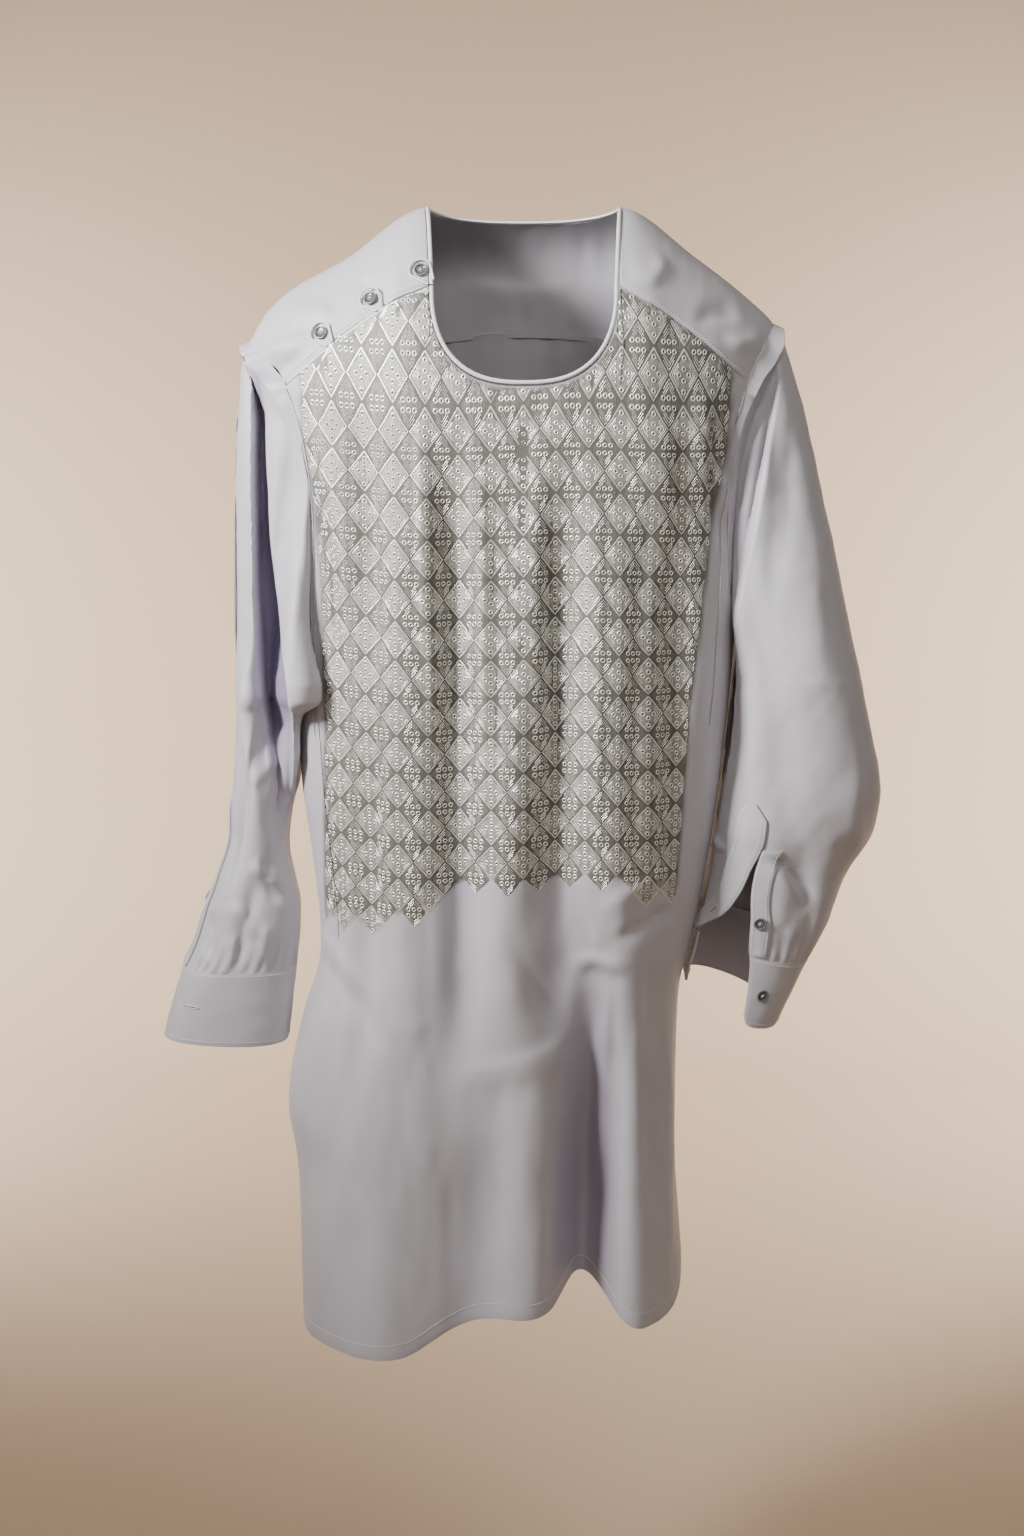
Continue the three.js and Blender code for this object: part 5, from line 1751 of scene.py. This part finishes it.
# How far inside the worked area plates, rings and lines end
PLATE_MARGIN = 0.3
RING_MARGIN = 2.2
LINE_MARGIN = 1.0


def worked_plates(width, height):
    """Thin raised diamonds of close stitches, the ground of the pattern, clipped at its edges."""
    points = []
    faces = []
    tones = []
    start = 0
    for outlined in (True, False):
        for centre, half, near_edge in diamond_grid(width, height, outlined):
            count = 12 if near_edge else 6
            steps = np.linspace(-1, 1, count + 1)
            p, q = np.meshgrid(steps, steps)
            corners = np.stack([(p - q) / 2, (p + q) / 2], axis=-1) * half * PLATE_SHARE + centre
            edge = np.maximum(np.abs(p), np.abs(q)) > 0.999
            lift = np.where(edge, -PLATE_RISE, PLATE_RISE)[..., None]
            inside = inside_worked(corners, PLATE_MARGIN)
            index = start + np.arange((count + 1) ** 2).reshape(count + 1, count + 1)
            quads = np.stack([index[:-1, :-1], index[1:, :-1], index[1:, 1:], index[:-1, 1:]], axis=-1)
            whole = inside[:-1, :-1] & inside[1:, :-1] & inside[1:, 1:] & inside[:-1, 1:]
            points.append(np.concatenate([corners, lift], axis=-1).reshape(-1, 3))
            faces.append(quads[whole])
            tones.append(np.full((count + 1) ** 2, float(outlined)))
            start += (count + 1) ** 2
    points = np.concatenate(points)
    faces = np.concatenate(faces)
    used = np.unique(faces)
    renumbered = np.zeros(start, np.int64)
    renumbered[used] = np.arange(len(used))
    return points[used], renumbered[faces], np.concatenate(tones)[used]


def inside_worked(points, margin):
    x, z = pattern_place(points[..., 0], points[..., 1])
    return side_margin(x, z) > margin


class PERAHAN_OT_embroidery(bpy.types.Operator):
    """Works the front: outlined and plain diamonds with rings, chevrons and stepped corners"""

    bl_idname = "perahan.embroidery"
    bl_label = "Embroidery"

    def execute(self, context):
        stitch = context.scene.perahan_embroidery
        width = stitch.pitch_width / MM
        height = stitch.pitch_height / MM
        rise = stitch.thread_rise / MM
        rings, lines = embroidery_motifs(width, height)
        rings = rings[inside_worked(rings, RING_MARGIN)]
        points, faces = ring_stitches(rings, *RING_RADII, rise)
        self.lay("embroidery_rings", points, faces)
        # Dark discs of painted shade in the middle of each ring
        turn = np.arange(8) * math.pi / 4
        dots = rings[:, None] + EYELET_RADIUS * np.stack([np.cos(turn), np.sin(turn)], axis=-1)
        lift = np.full((*dots.shape[:2], 1), EYELET_LIFT)
        points = np.concatenate([dots, lift], axis=-1).reshape(-1, 3)
        self.lay("embroidery_eyelet_shade", points, np.arange(len(points)).reshape(-1, 8), "eyelet_shade")
        kept = []
        inside_all = inside_worked(np.concatenate([line for line, _ in lines]), LINE_MARGIN)
        insides = np.split(inside_all, np.cumsum([len(line) for line, _ in lines])[:-1])
        for (line, band_width), inside in zip(lines, insides):
            start = None
            for k, good in enumerate(list(inside) + [False]):
                if good and start is None:
                    start = k
                if not good and start is not None:
                    if k - start >= 2:
                        kept.append((line[start:k], band_width))
                    start = None
        points, faces = band_stitches(kept, rise)
        self.lay("embroidery_bands", points, faces)
        points, faces, tones = worked_plates(width, height)
        # The outlined mark picks the stitches that get the painted sheen
        mark(self.lay("embroidery_ground", points, faces, "ground"), "outlined", tones)
        return {"FINISHED"}

    @staticmethod
    def lay(name, points, faces, finish="thread"):
        """Lays stitches given in pattern coordinates on the front."""
        x, z = pattern_place(points[:, 0], points[:, 1])
        u, s = place_of(-1, x, z)
        base = cloth_on_body(u, s)
        normals = body_normal(u, s)
        laid = base + normals * points[:, 2:3]
        coordinates = points[:, :2] * MM
        return link(name, laid, faces.tolist(), Finishes.get(finish), coordinates)


BAR_SECTION = [(-1.5, -1.1), (1.5, -1.1), (1.75, 0), (1.3, 0.95), (0, 1.25), (-1.3, 0.95), (-1.75, 0)]
CLOTH_WALL = 1.6


def bound_edge(name, u, s, replaced):
    """A folded strip sewn over an edge of the cloth."""
    points = on_body(u, s)
    out = body_normal(u, s)
    across = unit(np.cross(np.gradient(points, axis=0), out))
    path, faces = sweep(points - out * CLOTH_WALL / 2, across, out, BAR_SECTION)
    along = np.cumsum(np.linalg.norm(np.diff(points, axis=0, prepend=points[:1]), axis=1))
    coordinates = swept_coordinates(along, len(BAR_SECTION))
    piece = link(name, path, faces, Finishes.get("piping"), coordinates)
    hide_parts(replaced)


class PERAHAN_OT_bindings(bpy.types.Operator):
    """Binds the neck opening and the front's edge at the shoulder opening"""

    bl_idname = "perahan.bindings"
    bl_label = "Bound edges"

    def execute(self, context):
        margin = BINDING_WIDTH / 2
        way = np.linspace(0.002, 1, 40, endpoint=False)
        neck = chained([
            neck_side(RIGHT, way, margin),
            neck_back(np.linspace(0, 1, 70) * math.pi, margin),
            neck_side(LEFT, way[::-1], margin),
            neck_front(math.pi * (1 + np.cos(np.linspace(0.06, 3.08, 110))) / 2, margin),
        ])
        bound_edge("neck_piping", *from_neck(*neck), "neck_binding")
        row = front_seam_at[RIGHT](np.linspace(0.012, 0.955, 90))
        u, s = place_of(-1, row.x, row.z - BINDING_GAP - margin)
        bound_edge("front_edge_piping", u, s, "front_edge_binding")
        return {"FINISHED"}


BUTTON_PROFILE = [
    (0, 0), (4.8, 0), (5.5, 0.5), (5.8, 1.1), (5.75, 1.8), (5.3, 2.35), (4.8, 2.4), (4.3, 2.15),
    (3.9, 1.7), (3.2, 1.55), (1.6, 1.5), (0, 1.5),
]
BUTTON_STEPS = 40
BUTTON_HOLES = [(0.95, 0.95), (-0.95, 0.95), (-0.95, -0.95), (0.95, -0.95)]
HOLE_RADIUS = 0.62
# Inner and outer radius of the dished ring that gets the painted shade
RECESS = (2.5, 4.5)


def lathe(profile, steps):
    points = [(0, 0, profile[0][1])]
    for radius, height in profile[1:-1]:
        for k in range(steps):
            angle = 2 * math.pi * k / steps
            points.append((radius * math.cos(angle), radius * math.sin(angle), height))
    points.append((0, 0, profile[-1][1]))
    rings = len(profile) - 2
    faces = []
    for k in range(steps):
        after = (k + 1) % steps
        faces.append([0, 1 + after, 1 + k])
        for ring in range(rings - 1):
            low = 1 + ring * steps
            faces.append([low + k, low + after, low + steps + after, low + steps + k])
        top = 1 + (rings - 1) * steps
        faces.append([top + k, top + after, len(points) - 1])
    return np.array(points, float), faces


def button(name, seat, normal, replaced):
    """A four-hole pearl button on its seat, with a dark disc of painted shade in each hole, and its sewing."""
    axis = Vector(normal).to_track_quat("Z", "Y").to_matrix()
    turn = np.array(axis)
    place = lambda points: np.asarray(points, float) @ turn.T + seat
    points, faces = lathe(BUTTON_PROFILE, BUTTON_STEPS)
    piece = link(name, place(points), faces, Finishes.get("pearl"))
    radius = np.hypot(points[:, 0], points[:, 1])
    # Marks the dished ring for its painted shade
    mark(piece, "recess_shade", (radius > RECESS[0]) & (radius < RECESS[1]) & (points[:, 2] > 1))
    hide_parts(replaced)
    # Dark discs of painted shade where each hole goes through the button
    wells = []
    for x, y in BUTTON_HOLES:
        well, well_faces = lathe([(0, 1.3), (HOLE_RADIUS, 1.3), (HOLE_RADIUS, 1.62), (0, 1.62)], 14)
        wells.append((well + [x, y, 0], well_faces))
    hole_points, hole_faces = joined(wells)
    link(f"{name}_holes", place(hole_points), hole_faces, Finishes.get("hole_shade"))
    threads = []
    for (x0, y0), (x1, y1) in ((BUTTON_HOLES[0], BUTTON_HOLES[2]), (BUTTON_HOLES[1], BUTTON_HOLES[3])):
        way = np.linspace(0, 1, 9)
        lift = 1.55 + 0.55 * np.sin(math.pi * way)
        line = np.stack([mix(x0, x1, way), mix(y0, y1, way), lift], axis=-1)
        along = unit(np.gradient(line, axis=0))
        across = unit(np.cross(along, [0, 0, 1.0]))
        threads.append(sweep(line, across, np.cross(across, along), round_section(0.3, 6)))
    thread_points, thread_faces = joined(threads)
    link(f"{name}_thread", place(thread_points), thread_faces, Finishes.get("sewing"))


SHOULDER_BUTTONS = [(-85, -55.5), (-127, -78), (-169, -106)]
BUTTON_GAP = 0.2
SLEEVE_BUTTON_COLUMN = 1.15
SLIT_BUTTON_COLUMN = 0.5
SLIT_BUTTON_Z = {RIGHT: -612.5, LEFT: -619}


class PERAHAN_OT_buttons(bpy.types.Operator):
    """Sews on the shoulder, slit and cuff buttons"""

    bl_idname = "perahan.buttons"
    bl_label = "Buttons"

    def execute(self, context):
        for k, (x, z) in enumerate(SHOULDER_BUTTONS):
            u, s = place_of(-1, x, z)
            normal = body_normal(u, s)
            seat = on_body(u, s) + normal * BUTTON_GAP
            button(f"shoulder_pearl_{k + 1}", seat, normal, f"shoulder_button_{k + 1}")
        for side, name in WEARER_SIDES.items():
            points, normals = cuff_point(side, 0.5, RING_LAST - SLEEVE_BUTTON_COLUMN)
            button(f"cuff_pearl_{name}", points + normals * SEAM_GAP, normals, f"cuff_button_{name}")
            column = RING_LAST - SLIT_BUTTON_COLUMN
            points, normals = sleeve_surface(side, SLIT_BUTTON_Z[side], column)
            seat = points + normals * (0.9 + BAND_WALL + SEAM_GAP)
            button(f"slit_pearl_{name}", seat, normals, f"placket_button_{name}")
        return {"FINISHED"}


LOOP_CORD = 0.9
LOOP_SIDES = 12
LOOP_REACH = 9.2
LOOP_TAIL = 17
LOOP_LIFT = 1.9


class PERAHAN_OT_loops(bpy.types.Operator):
    """Makes the cord loops of the shoulder buttons"""

    bl_idname = "perahan.loops"
    bl_label = "Button loops"

    def execute(self, context):
        for k, (x, z) in enumerate(SHOULDER_BUTTONS):
            u, s = place_of(-1, x, z)
            centre = on_body(u, s)
            out = body_normal(u, s)
            down = unit(on_body(u, s - 1) - centre)
            right = -np.cross(down, out)
            tail = unit(down * 0.8 + right * 0.6)
            cross = unit(np.cross(out, tail))
            angle = np.linspace(0.13, 1.87, 60) * math.pi
            towards = np.maximum(np.cos(angle), 0)
            along = np.cos(angle) * LOOP_REACH + towards**3 * (LOOP_TAIL - LOOP_REACH)
            aside = np.sin(angle) * LOOP_REACH * (1 - 0.25 * towards)
            flat = centre + tail * along[:, None] + cross * aside[:, None]
            places = place_of(-1, flat[:, 0], flat[:, 2])
            path = on_body(*places) + body_normal(*places) * LOOP_LIFT
            tangent = unit(np.gradient(path, axis=0))
            across = unit(np.cross(tangent, out))
            section = round_section(LOOP_CORD, LOOP_SIDES)
            points, faces = sweep(path, across, unit(np.cross(across, tangent)), section)
            coordinates = swept_coordinates(np.arange(len(path)) * 0.9, LOOP_SIDES, 0.5)
            piece = link(f"loop_{k + 1}_cord", points, faces, Finishes.get("piping"), coordinates)
            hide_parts(f"button_loop_{k + 1}")
        return {"FINISHED"}


ALLOWANCE = 4
ALLOWANCE_DEPTH = 1.5
ALLOWANCE_WALL = 0.5
ALLOWANCE_LIFTS = (-ALLOWANCE, 0, ALLOWANCE)
# An x far outside the body, which place_of brings back to the side seam
BEYOND_SEAM = 1000.0


def allowance_strip(name, edges):
    """A strip of turned cloth under a seam, from rows of places on the body."""
    grid = np.stack([on_body(*edge) - body_normal(*edge) * ALLOWANCE_DEPTH for edge in edges])
    normals = np.stack([body_normal(*edge) for edge in edges])
    wall(name, grid, Finishes.get("cloth"), ALLOWANCE_WALL, normals=normals)


class PERAHAN_OT_allowances(bpy.types.Operator):
    """Turns the seam allowances in behind the yoke seams and the side seams"""

    bl_idname = "perahan.allowances"
    bl_label = "Seam allowances"

    def execute(self, context):
        x = np.linspace(-208, 192, 140)
        z = back_seam_height(x)
        allowance_strip("allowance_back", [place_of(1, x, z + lift) for lift in ALLOWANCE_LIFTS])
        for side, name in WEARER_SIDES.items():
            row = front_seam_at[side](np.linspace(0.04, 0.96, 80))
            rows = [place_of(-1, row.x, row.z + lift) for lift in ALLOWANCE_LIFTS]
            allowance_strip(f"allowance_front_{name}", rows)
            z = np.linspace(UNDERARM - 6, SLIT_TOP + 6, 120)
            before, behind = [place_of(face, side * BEYOND_SEAM, z)[1] for face in (-1, 1)]
            rows = [(share * side, s) for share, s in ((0.965, before), (1, before), (0.965, behind))]
            allowance_strip(f"allowance_side_{name}", rows)
        return {"FINISHED"}


SLOT_HALF = 0.95
CUFF_SLOTS = {RIGHT: (3.5, 5.3), LEFT: (0.9, 2.3)}
PLACKET_SLOT = 5.5


def worked_slot(line, normals):
    """A buttonhole along a line: a flat oval of close stitches, and a dark bar of painted shade for the slit
    inside it.
    """
    run = run_along(line)
    turn = np.arange(56) * 2 * math.pi / 56
    at = run[-1] / 2 * (1 + signed_power(np.cos(turn), 0.3))
    out = unit(read_line(at, run, normals))
    across = unit(np.cross(out, read_line(at, run, unit(np.gradient(line, axis=0)))))
    aside = SLOT_HALF * signed_power(np.sin(turn), 0.5)
    path = read_line(at, run, line) + across * aside[:, None] + out * 0.3
    along = unit(np.roll(path, -1, axis=0) - np.roll(path, 1, axis=0))
    edge = sweep(path, unit(np.cross(along, out)), out, round_section(0.55, 8, 0.8), closed=True)
    slit_across = unit(np.cross(np.gradient(line, axis=0), normals))
    slit = sweep(line, slit_across, normals, [(-0.45, -0.1), (0.45, -0.1), (0.45, 0.25), (-0.45, 0.25)])
    return edge, slit


class PERAHAN_OT_buttonholes(bpy.types.Operator):
    """Works the buttonholes of the cuffs and of the lapping slit bands"""

    bl_idname = "perahan.buttonholes"
    bl_label = "Buttonholes"

    def execute(self, context):
        slots = []
        for side in (RIGHT, LEFT):
            points, normals = cuff_point(side, 0.49, np.linspace(*CUFF_SLOTS[side], 15))
            slots.append(worked_slot(points, normals))
            z = SLIT_BUTTON_Z[side] + np.linspace(-PLACKET_SLOT, PLACKET_SLOT, 15)
            slots.append(worked_slot(*band_point(PLACKET, side, z, 0.5)))
        # The slits are dark bars of painted shade
        for name, finish, part in (("buttonhole_edges", "sewing", 0), ("buttonhole_slit_shade", "hole_shade", 1)):
            points, faces = joined([slot[part] for slot in slots])
            link(name, points, faces, Finishes.get(finish))
        return {"FINISHED"}


STITCH_LENGTH = 2.1
STITCH_PITCH = 2.9
HEM_FOLD = 14
SEAM_STITCH_LIFT = 3.2


def stitch_run(points, normals):
    """Stitches along a line on the cloth: small capsules half sunk in it."""
    run = run_along(points)
    count = int(run[-1] / STITCH_PITCH)
    parts = []
    for k in range(count):
        at = (k + 0.5) * STITCH_PITCH + np.array([-0.5, 0, 0.5]) * STITCH_LENGTH
        line = read_line(at, run, points)
        out = unit(read_line(at, run, normals))
        line = line + out * np.array([-0.05, 0.3, -0.05])[:, None]
        along = unit(np.gradient(line, axis=0))
        across = unit(np.cross(along, out))
        parts.append(sweep(line, across, out, round_section(0.3, 5)))
    return parts


def sewn_row(places, part="body"):
    """Stitches along a row of places on the body's cloth."""
    return stitch_run(cloth_on_body(*places, part), body_normal(*places))


class PERAHAN_OT_stitching(bpy.types.Operator):
    """Topstitches the hems, cuffs, bands and yoke seams"""

    bl_idname = "perahan.stitching"
    bl_label = "Topstitching"

    def execute(self, context):
        parts = []
        for face in (-1, 1):
            u = np.linspace(-0.985, 0.985, 900)
            hem_u, hem_s = hem_place(face, u)
            parts += sewn_row((hem_u, hem_s - face * HEM_FOLD))
        for side in (RIGHT, LEFT):
            row = front_seam_at[side](np.linspace(0.02, 0.97, 200))
            parts += sewn_row(place_of(-1, row.x, row.z + SEAM_STITCH_LIFT), "yoke")
            column = np.linspace(0.35, RING_LAST - 0.35, 500)
            for way in (0.05, 0.94):
                parts += stitch_run(*cuff_point(side, np.full(column.shape, way), column))
            for band in BANDS:
                z = np.linspace(band.top[side] - 4, CUFF_LEVELS[side][0] + 2, 200)
                for share in (0.12, 0.88):
                    parts += stitch_run(*band_point(band, side, z, share))
        x = np.linspace(-200, 184, 400)
        parts += sewn_row(place_of(1, x, back_seam_height(x) + SEAM_STITCH_LIFT), "yoke")
        points, faces = joined(parts)
        link("topstitching", points, faces, Finishes.get("sewing"))
        return {"FINISHED"}


CAMERA_PLACE = (-0.0095, -1.8, -0.133)
CAMERA_TARGET = (-0.0095, 0.0, -0.488)
CAMERA_LENS = 31.85
CAMERA_SENSOR = 24.0
WALL_PLACE = 2.5
WALL_BEND = 0.6
WALL_TOP = 3.6
FLOOR_FRONT = -4.0
BACKDROP_HALF = 5.0
BEND_STEPS = 16
KEY_COLOUR = (1.0, 0.97, 0.94)
FILL_COLOUR = (1.0, 0.95, 0.85)
ROOM_COLOUR = (0.9, 0.87, 0.84, 1.0)
ROOM_STRENGTH = 0.21


def aimed(name, data, place, target):
    """Puts a light or a camera at a place, turned to a target."""
    thing = bpy.data.objects.new(name, data)
    thing.location = place
    thing.rotation_euler = (Vector(target) - Vector(place)).to_track_quat("-Z", "Y").to_euler()
    bpy.context.collection.objects.link(thing)
    return thing


def area_light(name, place, target, size, power, colour, spread=180):
    light = bpy.data.lights.new(name, "AREA")
    light.shape = "RECTANGLE"
    light.size, light.size_y = size
    light.energy = power
    light.color = colour
    light.spread = math.radians(spread)
    aimed(name, light, place, target)


class PERAHAN_OT_stage(bpy.types.Operator):
    """Sets the camera, the lights, the floor and a plain backdrop"""

    bl_idname = "perahan.stage"
    bl_label = "Stage"

    def execute(self, context):
        stage = context.scene.perahan_stage
        camera = bpy.data.cameras.new("Camera")
        camera.sensor_fit = "VERTICAL"
        camera.sensor_height = CAMERA_SENSOR
        camera.lens = CAMERA_LENS
        context.scene.camera = aimed("Camera", camera, CAMERA_PLACE, CAMERA_TARGET)
        area_light(
            "Key light", (-1.4, -0.93, 0.54), (0, 0, -0.15), (0.4, 0.6), stage.key_power, KEY_COLOUR, 60,
        )
        area_light(
            "Fill light", (0.4, -1.7, 1.4), (0, 0, -0.05), (1.4, 0.8), stage.fill_power, FILL_COLOUR,
        )
        for side in (-1, 1):
            place = (side * 1.9, WALL_PLACE - 1.2, -0.5)
            target = (0, WALL_PLACE + 0.2, -1.15)
            area_light(f"Wall light {side}", place, target, (0.8, 1.6), stage.wall_power, KEY_COLOUR, 130)
        floor = -stage.floor_drop
        bend = WALL_PLACE - WALL_BEND
        profile = [(FLOOR_FRONT, floor), (bend, floor)]
        for k in range(1, BEND_STEPS + 1):
            angle = k / BEND_STEPS * math.pi / 2
            rise = WALL_BEND * (1 - math.cos(angle))
            profile.append((bend + WALL_BEND * math.sin(angle), floor + rise))
        profile.append((WALL_PLACE, WALL_TOP))
        points = [(x, y, z) for y, z in profile for x in (-BACKDROP_HALF, BACKDROP_HALF)]
        faces = [[2 * k, 2 * k + 1, 2 * k + 3, 2 * k + 2] for k in range(len(profile) - 1)]
        mesh = bpy.data.meshes.new("Backdrop")
        mesh.from_pydata(points, [], faces)
        mesh.shade_smooth()
        backdrop = new_material("Pale wall", Roughness=0.9, Base_Color=(*stage.backdrop_colour, 1.0))
        mesh.materials.append(backdrop)
        backdrop_sheet = bpy.data.objects.new("Backdrop", mesh)
        context.collection.objects.link(backdrop_sheet)
        backdrop_sheet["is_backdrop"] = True
        world = bpy.data.worlds.new("Soft room")
        world.use_nodes = True
        background = world.node_tree.nodes["Background"]
        background.inputs["Color"].default_value = ROOM_COLOUR
        background.inputs["Strength"].default_value = ROOM_STRENGTH
        context.scene.world = world
        return {"FINISHED"}


class PERAHAN_PT_sidebar(bpy.types.Panel):
    """Lists the tunic's pieces in the 3D view's sidebar"""

    bl_idname = "PERAHAN_PT_sidebar"
    bl_label = "Perahan"
    bl_space_type = "VIEW_3D"
    bl_region_type = "UI"
    bl_category = "Perahan"

    def draw(self, context):
        layout = self.layout
        for group in ("perahan_cloth", "perahan_embroidery", "perahan_stage"):
            settings = getattr(context.scene, group)
            box = layout.box()
            for name in settings.bl_rna.properties.keys():
                if name not in ("rna_type", "name"):
                    box.prop(settings, name)
        for piece in PIECE_OPERATORS:
            layout.operator(piece.bl_idname)


SETTINGS = {
    "perahan_cloth": PerahanCloth,
    "perahan_embroidery": PerahanEmbroidery,
    "perahan_stage": PerahanStage,
}
PIECE_OPERATORS = (
    PERAHAN_OT_stage,
    PERAHAN_OT_front,
    PERAHAN_OT_back,
    PERAHAN_OT_yoke,
    PERAHAN_OT_sleeves,
    PERAHAN_OT_cuffs,
    PERAHAN_OT_bands,
    PERAHAN_OT_embroidery,
    PERAHAN_OT_bindings,
    PERAHAN_OT_buttons,
    PERAHAN_OT_loops,
    PERAHAN_OT_allowances,
    PERAHAN_OT_buttonholes,
    PERAHAN_OT_stitching,
)


def register():
    for name, settings in SETTINGS.items():
        bpy.utils.register_class(settings)
        setattr(bpy.types.Scene, name, PointerProperty(type=settings))
    for piece in PIECE_OPERATORS:
        bpy.utils.register_class(piece)
    bpy.utils.register_class(PERAHAN_PT_sidebar)


def unregister():
    bpy.utils.unregister_class(PERAHAN_PT_sidebar)
    for piece in reversed(PIECE_OPERATORS):
        bpy.utils.unregister_class(piece)
    for name, settings in SETTINGS.items():
        delattr(bpy.types.Scene, name)
        bpy.utils.unregister_class(settings)


def main():
    register()
    bpy.ops.perahan.stage()
    bpy.ops.perahan.front()
    bpy.ops.perahan.back()
    bpy.ops.perahan.yoke()
    bpy.ops.perahan.sleeves()
    bpy.ops.perahan.cuffs()
    bpy.ops.perahan.bands()
    bpy.ops.perahan.embroidery()
    bpy.ops.perahan.bindings()
    bpy.ops.perahan.buttons()
    bpy.ops.perahan.loops()
    bpy.ops.perahan.allowances()
    bpy.ops.perahan.buttonholes()
    bpy.ops.perahan.stitching()
    sizes = {"cad": [list(corner) for corner in CAD_BOX], "visual": [list(corner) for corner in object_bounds()]}


if __name__ == "__main__":
    main()
